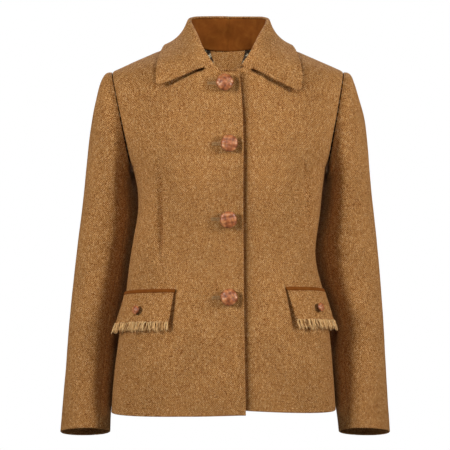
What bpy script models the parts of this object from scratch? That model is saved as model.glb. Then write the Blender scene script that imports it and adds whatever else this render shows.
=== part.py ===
"""A woman's hip-length tweed coat, filled out as if worn and open at the neck, hem and cuffs.

Metres, +Z up. The front faces -Y and the wearer's right is at -X. The origin lies in the neck opening,
level with the middle of the shoulders. Tables give the outside of the cloth.
"""

import math
import random
from collections import namedtuple

import bmesh
import bpy
import numpy as np
from mathutils import Vector
from mathutils.bvhtree import BVHTree

RIGHT = -1
LEFT = 1
SIDE_NAME = {RIGHT: "right", LEFT: "left"}

CLOTH = 0.0022            # tweed with its backing
FALL_CLOTH = 0.0026       # two layers of tweed
STAND_CLOTH = 0.0018      # suede on a backing
LINING_CLOTH = 0.0010
LIFT = 0.0009             # between a panel and what lies on it
FLAP_CLOTH = 0.0022
SEAM_GAP = 0.0003
FULLNESS = 0.86           # under 1 makes a body section squarer than an ellipse
SLEEVE_FULLNESS = 0.94

UNDERARM = -0.197
HEM_FRONT = {RIGHT: -0.6005, LEFT: -0.5905}
HEM_SIDE = {RIGHT: -0.607, LEFT: -0.603}
HEM_BACK = -0.611
NECK_HALF = 0.070
NECK_MIDDLE_Y = -0.010
NECK_FRONT = 0.0968       # from the neck's middle to the centre front
NECK_BACK = 0.080         # from the neck's middle to the nape
NECK_POINT_Z = 0.015
NECK_FRONT_DROP = 0.058
NECK_BACK_DROP = 0.010

HIDDEN_EDGE = 0.020       # how far the left front runs on under the right one
HIDDEN_DIP = 0.0055       # its hidden top corner dips in
LAYER = CLOTH + 0.0012
LAP_INNER = 0.078         # the right front starts to rise here
LAP_OUTER = 0.042         # and lies on the left front from here
BUST_X = 0.084
BUST_Z = -0.205
BUST_RISE = 0.009
BUST_WIDE = 0.055
BUST_TALL = 0.075

SKIRT_ROWS = 9
CHEST_ROWS = 6
NECK_ROWS = 8
FRONT_COLUMNS = 14
BACK_COLUMNS = 10
TOP_EDGE_SHARE = 0.20     # share of the neck rows that start on the lap's top edge

CentreLevel = namedtuple("CentreLevel", "height front_depth back_depth")
CENTRE_LEVELS = (
    CentreLevel(-0.615, 0.126, 0.124),
    CentreLevel(-0.540, 0.123, 0.120),
    CentreLevel(-0.450, 0.115, 0.106),
    CentreLevel(-0.365, 0.107, 0.087),
    CentreLevel(-0.290, 0.112, 0.091),
    CentreLevel(-0.220, 0.120, 0.100),
    CentreLevel(-0.140, 0.118, 0.106),
    CentreLevel(-0.080, 0.114, 0.101),
    CentreLevel(-0.042, 0.109, 0.091),
    CentreLevel(0.005, 0.100, 0.0722),
)

SideLevel = namedtuple("SideLevel", "height right_half left_half")
SIDE_LEVELS = (
    SideLevel(-0.610, 0.1960, 0.1820),
    SideLevel(-0.554, 0.1920, 0.1780),
    SideLevel(-0.484, 0.1830, 0.1720),
    SideLevel(-0.408, 0.1710, 0.1610),
    SideLevel(-0.371, 0.1665, 0.1510),
    SideLevel(-0.345, 0.1630, 0.1475),
    SideLevel(-0.315, 0.1580, 0.1495),
    SideLevel(-0.267, 0.1505, 0.1560),
    SideLevel(-0.235, 0.1520, 0.1595),
    SideLevel(-0.197, 0.1610, 0.1660),
)

EdgeLevel = namedtuple("EdgeLevel", "height edge_x")
FRONT_EDGE = (
    EdgeLevel(-0.605, 0.0280),
    EdgeLevel(-0.460, 0.0255),
    EdgeLevel(-0.280, 0.0240),
    EdgeLevel(-0.100, 0.0225),
    EdgeLevel(-0.042, 0.0180),
)

SleeveRing = namedtuple(
    "SleeveRing", "along out_z in_z right_out right_in left_out left_in middle_y half_depth pitch"
)
SLEEVE_RINGS = (
    SleeveRing(0.00, -0.0365, -0.197, 0.1940, 0.1610, 0.1940, 0.1660, 0.002, 0.0580, 0.0),
    SleeveRing(0.05, -0.0395, -0.203, 0.2045, 0.1655, 0.2040, 0.1705, 0.003, 0.0605, 0.0),
    SleeveRing(0.10, -0.0520, -0.207, 0.2130, 0.1660, 0.2115, 0.1705, 0.004, 0.0625, 0.0),
    SleeveRing(0.16, -0.0780, -0.212, 0.2200, 0.1650, 0.2200, 0.1695, 0.006, 0.0645, -1.0),
    SleeveRing(0.22, -0.1100, -0.219, 0.2265, 0.1630, 0.2285, 0.1680, 0.010, 0.0660, -2.0),
    SleeveRing(0.29, -0.1500, -0.230, 0.2330, 0.1595, 0.2345, 0.1650, 0.016, 0.0665, -3.0),
    SleeveRing(0.36, -0.1980, -0.248, 0.2390, 0.1550, 0.2395, 0.1610, 0.023, 0.0665, -4.0),
    SleeveRing(0.44, -0.2500, -0.280, 0.2450, 0.1525, 0.2450, 0.1555, 0.030, 0.0650, -5.0),
    SleeveRing(0.54, -0.3180, -0.332, 0.2540, 0.1590, 0.2530, 0.1470, 0.036, 0.0625, -3.0),
    SleeveRing(0.64, -0.3860, -0.392, 0.2618, 0.1720, 0.2592, 0.1585, 0.037, 0.0590, 3.0),
    SleeveRing(0.75, -0.4620, -0.464, 0.2690, 0.1862, 0.2645, 0.1788, 0.033, 0.0550, 8.0),
    SleeveRing(0.86, -0.5400, -0.540, 0.2740, 0.1914, 0.2675, 0.1782, 0.020, 0.0500, 11.0),
    SleeveRing(0.94, -0.5970, -0.596, 0.2782, 0.1962, 0.2702, 0.1822, 0.008, 0.0475, 13.0),
    SleeveRing(1.00, -0.6410, -0.639, 0.2810, 0.1968, 0.2722, 0.1858, -0.004, 0.0460, 13.5),
)
Tuck = namedtuple("Tuck", "along depth")
SLEEVE_TUCK = (           # how far the rear of a sleeve lies in behind the body's side
    Tuck(0.00, 0.0000),
    Tuck(0.08, 0.0000),
    Tuck(0.16, 0.0110),
    Tuck(0.22, 0.0115),
    Tuck(0.30, 0.0155),
    Tuck(0.40, 0.0180),
    Tuck(0.54, 0.0115),
    Tuck(0.66, 0.0150),
    Tuck(0.76, 0.0160),
    Tuck(0.84, 0.0105),
    Tuck(0.90, 0.0065),
    Tuck(0.97, 0.0000),
    Tuck(1.00, 0.0000),
)
TUCK_AT = 222.0           # degrees round a sleeve
TUCK_WIDE = 30.0
BACK_FULLNESS = {RIGHT: 0.0040, LEFT: 0.0}  # the right sleeve stands a little fuller behind the upper arm
FULLER_AT = 320.0         # degrees round a sleeve
FULLER_WIDE = 26.0
FULLER_ALONG = 0.27
FULLER_LONG = 0.11
ArmholeFace = namedtuple("ArmholeFace", "degrees out fore up")
ARMHOLE_FACES = (
    ArmholeFace(0, 0.40, 0.00, 0.92),
    ArmholeFace(45, 0.45, 0.60, 0.60),
    ArmholeFace(85, 0.63, 0.77, 0.05),
    ArmholeFace(130, 0.89, 0.46, 0.00),
    ArmholeFace(180, 1.00, 0.00, 0.00),
)
SLEEVE_STEPS = 16
TOP_COLUMNS = 12
UNDER_COLUMNS = 6
SLEEVE_START = 0.0010     # the sleeve head stands this far out from the armhole, and further below
SLEEVE_START_LOW = 0.0026
FORE_SEAM = 128.0         # degrees round a sleeve from its outer side, over the front
HIND_SEAM = -108.0

Fold = namedtuple("Fold", "side x top bottom half_width depth")
FRONT_FOLDS = (
    Fold(RIGHT, -0.106, -0.215, -0.375, 0.014, 0.0035),
    Fold(LEFT, 0.131, -0.180, -0.345, 0.016, 0.0035),
)

CollarStation = namedtuple("CollarStation", "turn fold_x fold_y fold_z edge_x edge_y edge_z belly")
COLLAR_STATIONS = (
    CollarStation(-45, -0.0440, 0.0390, 0.0608, -0.0730, 0.0700, -0.0020, 0.000),
    CollarStation(0, 0.0000, 0.0560, 0.0628, 0.0000, 0.0970, -0.0040, 0.003),
    CollarStation(45, 0.0440, 0.0390, 0.0608, 0.0730, 0.0700, -0.0020, 0.000),
    CollarStation(68, 0.0560, 0.0190, 0.0580, 0.0905, 0.0365, 0.0012, -0.004),
    CollarStation(90, 0.0625, -0.0040, 0.0515, 0.1015, -0.0040, 0.0030, -0.009),
    CollarStation(120, 0.0515, -0.0470, 0.0230, 0.1070, -0.0480, -0.0270, -0.004),
    CollarStation(142, 0.0390, -0.0800, -0.0070, 0.1110, -0.0780, -0.0520, 0.001),
    CollarStation(161, 0.0228, -0.0985, -0.0330, 0.1115, -0.0920, -0.0680, 0.002),
)
COLLAR_END = 161
COLLAR_COLUMNS = 30
FALL_ROWS = 6
STAND_ROWS = 3
POINT_STAND_OFF = 0.0046
SHOULDER_STAND_OFF = 0.0026
COLLAR_CLEAR = 0.0022
STAND_INSET = 0.0022
LEFT_POINT_WIDER = 0.003
LEFT_POINT_LOWER = 0.010
LEFT_ROLL_WIDER = 0.003

FLAP_FRONT = {RIGHT: 0.0870, LEFT: 0.0960}     # from the centre line to the flap's front edge
FLAP_LEAN = {RIGHT: 0.0070, LEFT: 0.0130}      # how far that edge slants out on its way down
FLAP_TOP = {RIGHT: -0.4045, LEFT: -0.4010}
FLAP_WIDE = {RIGHT: 0.126, LEFT: 0.119}
FLAP_TALL = 0.047
FLAP_SLANT = 0.008
FLAP_FRONT_FLARE = 0.0050
FLAP_REAR_FLARE = 0.0070
FLAP_COLUMNS = 9
FLAP_ROWS = 4
PIPING_TALL = 0.0060
PIPING_DEEP = 0.0022
PIPING_OVER = 0.0015

FRINGE_LOCKS = 36
FRINGE_STRIP_TALL = 0.0028
FRINGE_STRIP_DEEP = 0.0016
FRINGE_LONG = 0.0130
LOCK_SHARE = 0.74
LOCK_TIP = 0.50
FRINGE_SEED = 7

FRONT_BUTTONS = (         # across and height
    (-0.0045, -0.0645),
    (0.0025, -0.1630),
    (0.0010, -0.2840),
    (0.0020, -0.4120),
)
FRONT_BUTTON_ROUND = 0.028
FLAP_BUTTON_ROUND = 0.015
FLAP_BUTTON_SHARE = {RIGHT: 0.45, LEFT: 0.40}
BUTTON_DEEP = 0.42        # of its diameter
BUTTON_STEPS = 14

FACING_HALF_TOP = 0.0350
FACING_HALF_LOW = 0.0080
LINING_HALF = 0.0620
INSIDE_LOW = -0.060       # the lower edge of both pieces inside the back
INSIDE_BELOW_NECK = 0.0015
INSIDE_ROWS = 5
LINING_COLUMNS = 13       # odd, so that no point falls on the seam down the back
FACING_COLUMNS = 7

COAT = "tweed_coat"


def through(rows, column, at):
    """A smooth curve through one column of a table, read at a value of the table's first column."""
    keys = np.array([row[0] for row in rows])
    values = np.array([getattr(row, column) for row in rows])
    slopes = np.gradient(values, keys)
    span = int(np.clip(np.searchsorted(keys, at) - 1, 0, len(keys) - 2))
    width = keys[span + 1] - keys[span]
    share = (min(max(at, keys[0]), keys[-1]) - keys[span]) / width
    rest = 1 - share
    return (
        (1 + 2 * share) * rest**2 * values[span]
        + share * rest**2 * width * slopes[span]
        + share**2 * (3 - 2 * share) * values[span + 1]
        - share**2 * rest * width * slopes[span + 1]
    )


def ease(low, high, at):
    """0 below low, 1 above high and a soft step between."""
    share = np.clip((np.asarray(at, dtype=float) - low) / (high - low), 0, 1)
    return share * share * (3 - 2 * share)


def mix(first, last, share):
    return first + (last - first) * share


def spread(points, distances):
    """Points at the given distances along a polyline."""
    steps = np.linalg.norm(np.diff(points, axis=0), axis=1)
    reached = np.concatenate(([0.0], np.cumsum(steps)))
    return np.column_stack([np.interp(distances, reached, points[:, axis]) for axis in range(3)])


def length_of(points):
    return float(np.linalg.norm(np.diff(points, axis=0), axis=1).sum())


def unit(vector):
    return vector / np.linalg.norm(vector)


def sleeve_ring(side, along, degrees, inset=0.0):
    """Points round a sleeve: 0 degrees is its outer side, 90 its front and 180 the side at the body."""
    name = SIDE_NAME[side]
    outer = np.array((through(SLEEVE_RINGS, name + "_out", along), through(SLEEVE_RINGS, "out_z", along)))
    inner = np.array((through(SLEEVE_RINGS, name + "_in", along), through(SLEEVE_RINGS, "in_z", along)))
    across = (outer - inner) / 2
    across = across * (1 - inset / np.linalg.norm(across))
    middle = (outer + inner) / 2
    half_depth = through(SLEEVE_RINGS, "half_depth", along) - inset
    pitch = math.tan(math.radians(through(SLEEVE_RINGS, "pitch", along)))
    turn = np.radians(degrees)
    outward = np.sign(np.cos(turn)) * np.abs(np.cos(turn)) ** SLEEVE_FULLNESS
    forward = np.sign(np.sin(turn)) * np.abs(np.sin(turn)) ** SLEEVE_FULLNESS
    behind = (degrees % 360 - TUCK_AT) / TUCK_WIDE
    fuller = ((degrees - FULLER_AT + 180) % 360 - 180) / FULLER_WIDE
    swell = BACK_FULLNESS[side] * np.exp(-(fuller**2) - ((along - FULLER_ALONG) / FULLER_LONG) ** 2)
    tuck = through(SLEEVE_TUCK, "depth", along) * np.exp(-(behind**2))
    x = middle[0] + across[0] * outward + swell - tuck
    y = through(SLEEVE_RINGS, "middle_y", along) - half_depth * forward
    z = middle[1] + across[1] * outward + pitch * half_depth * forward
    return np.column_stack((side * x, y, z))


def armhole(side, degrees):
    """The inner edge of the body's cloth round an armhole."""
    point = sleeve_ring(side, 0.0, np.array([degrees]))[0]
    turn = min(degrees, 360 - degrees)
    forward = 1 if degrees <= 180 else -1
    out, fore, up = (float(through(ARMHOLE_FACES, column, turn)) for column in ("out", "fore", "up"))
    return point - CLOTH * unit(np.array((side * out, -forward * fore, up)))


def neck(turn):
    """The neckline: 0 degrees is the nape, 90 the neck's left side and 180 the centre front."""
    side = math.sin(math.radians(turn))
    back = math.cos(math.radians(turn))
    reach = NECK_BACK if back > 0 else NECK_FRONT
    drop = NECK_BACK_DROP if back > 0 else NECK_FRONT_DROP
    return np.array((
        NECK_HALF * side,
        NECK_MIDDLE_Y + reach * back,
        NECK_POINT_Z - drop * abs(back) ** 1.3,
    ))


def centre(face, height):
    """The inside of the cloth on the centre line."""
    depth = through(CENTRE_LEVELS, face + "_depth", height) - CLOTH
    return np.array((0.0, -depth if face == "front" else depth, height))


def row_ends(side, face, row):
    """Both ends of a panel's row, its turn in degrees and its reach past the centre line.

    Rows 0 to 1 climb from hem to underarm, 1 to 2 to the neckline's foot, 2 to 3 along the neckline.
    """
    front = face == "front"
    neck_foot = neck(180 if front else 0)[2]
    foot_share = 0.55 if front else 0.70
    reach = 0.0
    if row <= 1:
        hem = HEM_FRONT[side] if front else HEM_BACK
        start = centre(face, mix(hem, UNDERARM, row))
        height = mix(HEM_SIDE[side], UNDERARM, row)
        half = through(SIDE_LEVELS, SIDE_NAME[side] + "_half", height) - CLOTH
        armpit = armhole(side, 180)
        end = np.array((side * half, armpit[1], height))
        end = mix(end, armpit, float(ease(0.9, 1.0, row)))
        climb = 0.0
    elif row <= 2:
        start = centre(face, mix(UNDERARM, neck_foot, row - 1))
        climb = foot_share * (row - 1)
    else:
        share = row - 2
        if front:
            share = max(share - TOP_EDGE_SHARE, 0) / (1 - TOP_EDGE_SHARE)
        start = neck(mix(180, 90, share) if front else mix(0, 90, share))
        start[0] *= side
        climb = mix(foot_share, 1.0, row - 2)
    if row > 1:
        end = armhole(side, 180 * (1 - climb) if front else 180 * (1 + climb))
    if front:
        if side == RIGHT:
            reach = through(FRONT_EDGE, "edge_x", max(min(start[2], -0.042), -0.605))
        else:
            reach = HIDDEN_EDGE
        reach *= 1 - min(max(row - 2, 0) / TOP_EDGE_SHARE, 1)
    turn = float(np.interp(row, (1, 2, 3), (90, 56, 26)))
    return start, end, turn, reach


def row_curve(side, face, row, lap=True):
    """A panel's row as a dense line on the inside of its cloth, from its front edge or centre to the side."""
    start, end, turn, reach = row_ends(side, face, row)
    reach = reach if lap else 0.0
    turn = math.radians(turn)
    wide = abs(end[0] - start[0])
    first = math.asin(min(1.0, (reach / wide) ** (1 / FULLNESS) * math.sin(turn))) / turn
    angle = np.linspace(-first, 1, 121) * turn
    out = np.sign(angle) * (np.abs(np.sin(angle)) / math.sin(turn)) ** FULLNESS
    drawn = np.clip((1 - np.cos(angle)) / (1 - math.cos(turn)), 0, 1)
    back = 1 - (1 - drawn) ** FULLNESS
    points = np.column_stack((
        mix(start[0], end[0], out),
        mix(start[1], end[1], back),
        mix(start[2], end[2], (out - out[0]) / (1 - out[0])),
    ))
    if face == "front":
        points[:, 1] += front_relief(side, points) * (1 - ease(0.80, 0.98, out))
    return points


def front_relief(side, points):
    """How far the bust, the folds and the lap move a front: less is further forward."""
    x = points[:, 0]
    z = points[:, 2]
    level = np.exp(-(((z - BUST_Z) / BUST_TALL) ** 2))
    breasts = np.exp(-(((x - BUST_X) / BUST_WIDE) ** 2)) + np.exp(-(((x + BUST_X) / BUST_WIDE) ** 2))
    relief = -BUST_RISE * level * breasts
    for fold in FRONT_FOLDS:
        if fold.side == side:
            height = ease(fold.bottom, mix(fold.bottom, fold.top, 0.4), z)
            height = height * (1 - ease(mix(fold.bottom, fold.top, 0.75), fold.top, z))
            relief = relief + fold.depth * height * np.exp(-(((x - fold.x) / fold.half_width) ** 2))
    if side == RIGHT:
        relief = relief - LAYER * ease(-LAP_INNER, -LAP_OUTER, x)
    else:
        relief = relief + HIDDEN_DIP * (1 - ease(-0.014, 0.016, x)) * ease(-0.140, -0.060, z)
    return relief


def panel_grid(side, face, rows, columns):
    """Rows of points on the inside of a panel, held back from each seam by half its gap."""
    grid = []
    for row in rows:
        line = row_curve(side, face, row)
        whole = length_of(line)
        first = 0.0 if face == "front" else SEAM_GAP / 2
        grid.append(spread(line, np.linspace(first, whole - SEAM_GAP / 2, columns + 1)))
    grid = np.array(grid)
    step = grid[-2] - grid[-1]
    grid[-1] += step / np.linalg.norm(step, axis=1)[:, None] * SEAM_GAP / 2
    return grid


def skirt_line(side, height):
    """The inside of the cloth at a height, from the centre front round the side to the centre back."""
    share = (height - HEM_SIDE[side]) / (UNDERARM - HEM_SIDE[side])
    front = row_curve(side, "front", share, lap=False)
    line = np.concatenate((front, row_curve(side, "back", share)[-2::-1]))
    line[:, 2] = height
    return line


def skirt_point(side, height, distance, lift):
    """A point below the underarm, a distance round from the centre front, moved off the cloth."""
    here, ahead = spread(skirt_line(side, height), np.array((distance, distance + 0.002)))
    along = unit(ahead - here)
    return here + np.array((along[1], -along[0], 0)) * side * lift


def skirt_distance(side, height, x):
    """How far round from the centre front the cloth is the given distance from the centre line."""
    line = skirt_line(side, height)
    line = line[:int(np.argmax(np.abs(line[:, 0]))) + 1]
    nearest = int(np.argmin(np.abs(np.abs(line[:, 0]) - x)))
    return length_of(line[:nearest + 1])


def material(name, colour, roughness):
    finish = bpy.data.materials.new(name)
    finish.use_nodes = True
    shader = finish.node_tree.nodes["Principled BSDF"]
    shader.inputs["Base Color"].default_value = (*colour, 1)
    shader.inputs["Roughness"].default_value = roughness
    return finish


def place(name, mesh, finish):
    piece = bpy.data.objects.new(name, mesh)
    mesh.materials.append(finish)
    for face in mesh.polygons:
        face.use_smooth = True
    bpy.data.collections[COAT].objects.link(piece)
    return piece


def wall(name, grid, thickness, finish):
    """A cloth wall: the grid is its inner face, and the thickness goes on outside it."""
    rows, columns = grid.shape[:2]
    cloth = bmesh.new()
    bmesh.ops.create_grid(cloth, x_segments=columns - 1, y_segments=rows - 1, size=0.5)
    for vertex, point in zip(cloth.verts, grid.reshape(-1, 3)):
        vertex.co = point
    mesh = bpy.data.meshes.new(name)
    cloth.to_mesh(mesh)
    cloth.free()
    piece = place(name, mesh, finish)
    solidify = piece.modifiers.new("Cloth", "SOLIDIFY")
    solidify.thickness = thickness
    solidify.offset = 1
    solidify.use_even_offset = True
    return piece


def facing_out(grid, turned):
    return grid[:, ::-1] if turned else grid


def build_body(tweed):
    rows = np.concatenate((
        np.linspace(0, 1, SKIRT_ROWS + 1),
        np.linspace(1, 2, CHEST_ROWS + 1)[1:],
        np.linspace(2, 3, NECK_ROWS + 1)[1:],
    ))
    pieces = []
    for side in (RIGHT, LEFT):
        name = SIDE_NAME[side]
        front = panel_grid(side, "front", rows, FRONT_COLUMNS)
        back = panel_grid(side, "back", rows, BACK_COLUMNS)
        pieces.append(wall("front_" + name, facing_out(front, side == RIGHT), CLOTH, tweed))
        pieces.append(wall("back_" + name, facing_out(back, side == LEFT), CLOTH, tweed))
    return pieces


def build_sleeves(tweed):
    steps = np.concatenate((np.linspace(0, 0.44, 9), np.linspace(0.44, 1, SLEEVE_STEPS - 7)[1:]))
    for side in (RIGHT, LEFT):
        parts = (
            ("top", HIND_SEAM, FORE_SEAM, TOP_COLUMNS),
            ("under", FORE_SEAM, HIND_SEAM + 360, UNDER_COLUMNS),
        )
        for part, first, last, columns in parts:
            grid = []
            for along in steps:
                degrees = np.linspace(first, last, 60)
                ring = sleeve_ring(side, along, degrees, CLOTH)
                if along == 0:
                    lower = np.clip(-np.cos(np.radians(degrees)), 0, 1)
                    ring[:, 0] += side * mix(SLEEVE_START, SLEEVE_START_LOW, lower)
                whole = length_of(ring)
                grid.append(spread(ring, np.linspace(SEAM_GAP / 2, whole - SEAM_GAP / 2, columns + 1)))
            name = f"sleeve_{SIDE_NAME[side]}_{part}"
            wall(name, facing_out(np.array(grid), side == RIGHT), CLOTH, tweed)


def collar_point(turn, part):
    """A point of the collar's fold or outer edge at a turn round the neck, signed by side."""
    side = 1 if turn >= 0 else -1
    at = abs(turn)
    x, y, z = (through(COLLAR_STATIONS, f"{part}_{axis}", at) for axis in "xyz")
    if part == "edge" and side == LEFT:
        x += LEFT_POINT_WIDER * float(ease(60, 110, at))
        z -= LEFT_POINT_LOWER * float(ease(95, COLLAR_END, at))
    elif side == LEFT:
        x += LEFT_ROLL_WIDER * float(ease(30, 80, at) * (1 - ease(100, 140, at)))
    return np.array((side * x, y, z))


def push_off(point, surface, clear):
    """Move a point out to a set distance from the body where it lies nearer than that."""
    spot, face, _, _ = surface.find_nearest(Vector(point))
    away = (Vector(point) - spot).dot(face)
    if away < CLOTH + clear:
        return np.array(spot + face * (CLOTH + clear))
    return point


def build_collar(surface, tweed, suede):
    turns = np.linspace(-COLLAR_END, COLLAR_END, COLLAR_COLUMNS + 1)
    stand = []
    fall = []
    for turn in turns:
        root = neck(abs(turn)) * np.array((1 if turn >= 0 else -1, 1, 1))
        fold = collar_point(turn, "fold")
        if turn < 0:
            lap = LAYER * float(ease(-LAP_INNER, -LAP_OUTER, root[0]))
            root[1] -= lap
            fold[1] -= lap
        out = unit(np.array((root[0], root[1] - NECK_MIDDLE_Y, 0)))
        foot = root - out * (STAND_CLOTH + STAND_INSET) - np.array((0, 0, 0.0015))
        head = fold - np.array((0, 0, FALL_CLOTH + 0.0016))
        head[2] = max(head[2], foot[2] + 0.0040)
        stand.append([mix(foot, head, share) for share in np.linspace(0, 1, STAND_ROWS + 1)])
        up = np.array((0, 0, 1))
        over = head + up * 0.0008 + out * (STAND_CLOTH + 0.0016)
        edge = collar_point(turn, "edge")
        spot, face, _, _ = surface.find_nearest(Vector(edge))
        stand_off = mix(SHOULDER_STAND_OFF, POINT_STAND_OFF, float(ease(105, 145, abs(turn))))
        edge = np.array(spot + face * (CLOTH + stand_off))
        belly = through(COLLAR_STATIONS, "belly", abs(turn))
        pull = (over + edge) / 2 + (out + up) * belly
        profile = [head + up * 0.0005, head + up * 0.0016 + out * (STAND_CLOTH / 2)]
        for share in np.linspace(0, 1, FALL_ROWS + 1):
            rest = 1 - share
            profile.append(rest * rest * over + 2 * rest * share * pull + share * share * edge)
        for index in range(3, len(profile)):
            profile[index] = push_off(profile[index], surface, COLLAR_CLEAR)
        fall.append(profile)
    stand = np.array(stand).transpose(1, 0, 2)
    fall = np.array(fall).transpose(1, 0, 2)
    wall("collar_stand", stand[:, ::-1], STAND_CLOTH, suede)
    wall("collar_fall", fall, FALL_CLOTH, tweed)


def back_inside(surface, x, height, depth):
    """A point inside the back, at a place across and up in the front view, moved in off the cloth."""
    spot, face, _, _ = surface.ray_cast(Vector((x, 0, height)), Vector((0, 1, 0)))
    return np.array(spot - face * depth)


def inside_grid(surface, half_low, half_top, columns, depth):
    """A piece laid inside the back, from its low edge up to the neckline."""
    grid = []
    for share in np.linspace(0, 1, INSIDE_ROWS + 1):
        half = mix(half_low, half_top, share)
        line = []
        for x in np.linspace(-half, half, columns + 1):
            top = neck(math.degrees(math.asin(abs(x) / NECK_HALF)))[2] - INSIDE_BELOW_NECK
            line.append(back_inside(surface, x, mix(INSIDE_LOW, top, share), depth))
        grid.append(line)
    return np.array(grid)[:, ::-1]


def build_inside(surface, tweed, print_cloth):
    layer = LINING_CLOTH + LIFT
    lining = inside_grid(surface, LINING_HALF, LINING_HALF, LINING_COLUMNS, layer)
    wall("neck_lining", lining, LINING_CLOTH, print_cloth)
    facing = inside_grid(surface, FACING_HALF_LOW, FACING_HALF_TOP, FACING_COLUMNS, 2 * layer)
    wall("back_neck_facing", facing, LINING_CLOTH, tweed)


def flap_height(side, share):
    """The height of a flap's top edge, which drops towards the side seam."""
    return FLAP_TOP[side] - FLAP_SLANT * share**2


def flap_point(side, share, down, depth):
    """A point of a flap: share runs from its front edge to its rear, down from its top to its foot."""
    height = flap_height(side, share) - FLAP_TALL * down
    front = skirt_distance(side, FLAP_TOP[side], FLAP_FRONT[side]) + FLAP_LEAN[side] * down
    flare = mix(FLAP_FRONT_FLARE, FLAP_REAR_FLARE, share) * max(down, 0) ** 1.2
    return skirt_point(side, height, front + FLAP_WIDE[side] * share, CLOTH + LIFT + flare + depth)


def build_pockets(tweed, suede, yarn):
    for side in (RIGHT, LEFT):
        name = SIDE_NAME[side]
        shares = np.linspace(0, 1, FLAP_COLUMNS + 1)
        flap = [[flap_point(side, s, d, 0) for s in shares] for d in np.linspace(1, 0, FLAP_ROWS + 1)]
        wall("pocket_flap_" + name, facing_out(np.array(flap), side == RIGHT), FLAP_CLOTH, tweed)
        over = PIPING_OVER / FLAP_WIDE[side]
        shares = np.linspace(-over, 1 + over, FLAP_COLUMNS + 1)
        downs = (-SEAM_GAP / FLAP_TALL, -(SEAM_GAP + PIPING_TALL / 2) / FLAP_TALL,
                 -(SEAM_GAP + PIPING_TALL) / FLAP_TALL)
        piping = [[flap_point(side, s, d, 0) for s in shares] for d in downs]
        wall("pocket_piping_" + name, facing_out(np.array(piping), side == RIGHT), PIPING_DEEP, suede)
        build_fringe(side, yarn)


def build_fringe(side, yarn):
    """A strip under a flap's foot with locks hanging from it, each drawn from one cell of the strip."""
    dice = random.Random(FRINGE_SEED + side)
    top = 1 + SEAM_GAP / FLAP_TALL
    low = top + FRINGE_STRIP_TALL / FLAP_TALL
    mesh = bmesh.new()
    rings = []
    for share in np.linspace(0.005, 0.995, FRINGE_LOCKS + 1):
        inner = (FLAP_CLOTH - FRINGE_STRIP_DEEP) / 2
        outer = inner + FRINGE_STRIP_DEEP
        corners = ((top, inner), (top, outer), (low, outer), (low, inner))
        rings.append([mesh.verts.new(flap_point(side, share, d, depth)) for d, depth in corners])
    feet = []
    for first, last in zip(rings[:-1], rings[1:]):
        for corner in range(4):
            after = (corner + 1) % 4
            face = mesh.faces.new((first[corner], first[after], last[after], last[corner]))
            if corner == 2:
                feet.append(face)
    mesh.faces.new(rings[0])
    mesh.faces.new(rings[-1])
    for foot in feet:
        middle = foot.calc_center_median()
        along = (foot.verts[3].co - foot.verts[0].co).normalized()
        lock = bmesh.ops.extrude_discrete_faces(mesh, faces=[foot])["faces"][0]
        for vertex in lock.verts:
            offset = vertex.co - middle
            vertex.co = middle + offset * LOCK_SHARE + Vector((0, 0, -0.0012))
        tip = bmesh.ops.extrude_discrete_faces(mesh, faces=[lock])["faces"][0]
        sway = along * dice.uniform(-0.0005, 0.0005)
        drop = Vector((0, 0, -FRINGE_LONG * dice.uniform(0.82, 1.05)))
        middle = tip.calc_center_median()
        for vertex in tip.verts:
            vertex.co = middle + (vertex.co - middle) * LOCK_TIP + drop + sway
    bmesh.ops.recalc_face_normals(mesh, faces=mesh.faces)
    data = bpy.data.meshes.new("flap_fringe_" + SIDE_NAME[side])
    mesh.to_mesh(data)
    mesh.free()
    place(data.name, data, yarn)


def build_button(name, size, spot, face, leather):
    """A leather knot button: a low dome on a short shank, turned about its axis."""
    deep = BUTTON_DEEP * size
    shank = 0.0030
    radius = size / 2
    profile = [(0.0, 0.0), (radius * 0.30, 0.0), (radius * 0.30, shank)]
    for degrees in np.linspace(-60, 66, 6):
        turn = math.radians(degrees)
        profile.append((radius * math.cos(turn) ** 0.8, shank + deep * 0.45 + deep * 0.55 * math.sin(turn)))
    profile.append((0.0, shank + deep))
    mesh = bpy.data.meshes.new(name)
    points = [(x, 0, z) for x, z in profile]
    mesh.from_pydata(points, [(i, i + 1) for i in range(len(points) - 1)], [])
    button = place(name, mesh, leather)
    screw = button.modifiers.new("Turned", "SCREW")
    screw.steps = BUTTON_STEPS
    screw.render_steps = BUTTON_STEPS
    screw.use_merge_vertices = True
    screw.merge_threshold = 0.00002
    screw.use_normal_calculate = True
    button.rotation_euler = Vector(face).to_track_quat("Z", "Y").to_euler()
    button.location = Vector(spot) + Vector(face) * SEAM_GAP


def build_buttons(surface, leather):
    for number, (across, height) in enumerate(FRONT_BUTTONS, start=1):
        start = Vector((across, -0.4, height))
        spot, face, _, _ = surface.ray_cast(start, Vector((0, 1, 0)))
        spot = spot + face * CLOTH
        build_button(f"front_button_{number}", FRONT_BUTTON_ROUND, spot, face, leather)
    for side in (RIGHT, LEFT):
        share = FLAP_BUTTON_SHARE[side]
        here = flap_point(side, share, 0.60, FLAP_CLOTH + SEAM_GAP)
        across = flap_point(side, share + 0.05, 0.60, FLAP_CLOTH + SEAM_GAP) - here
        down = flap_point(side, share, 0.70, FLAP_CLOTH + SEAM_GAP) - here
        face = unit(np.cross(down, across)) * side
        build_button("flap_button_" + SIDE_NAME[side], FLAP_BUTTON_ROUND, here, face, leather)


def inside_faces(pieces):
    """One search tree over the inner faces of the given walls, with normals to the outside."""
    points = []
    faces = []
    for piece in pieces:
        first = len(points)
        points.extend(tuple(vertex.co) for vertex in piece.data.vertices)
        faces.extend([first + index for index in face.vertices] for face in piece.data.polygons)
    return BVHTree.FromPolygons(points, faces)


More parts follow.
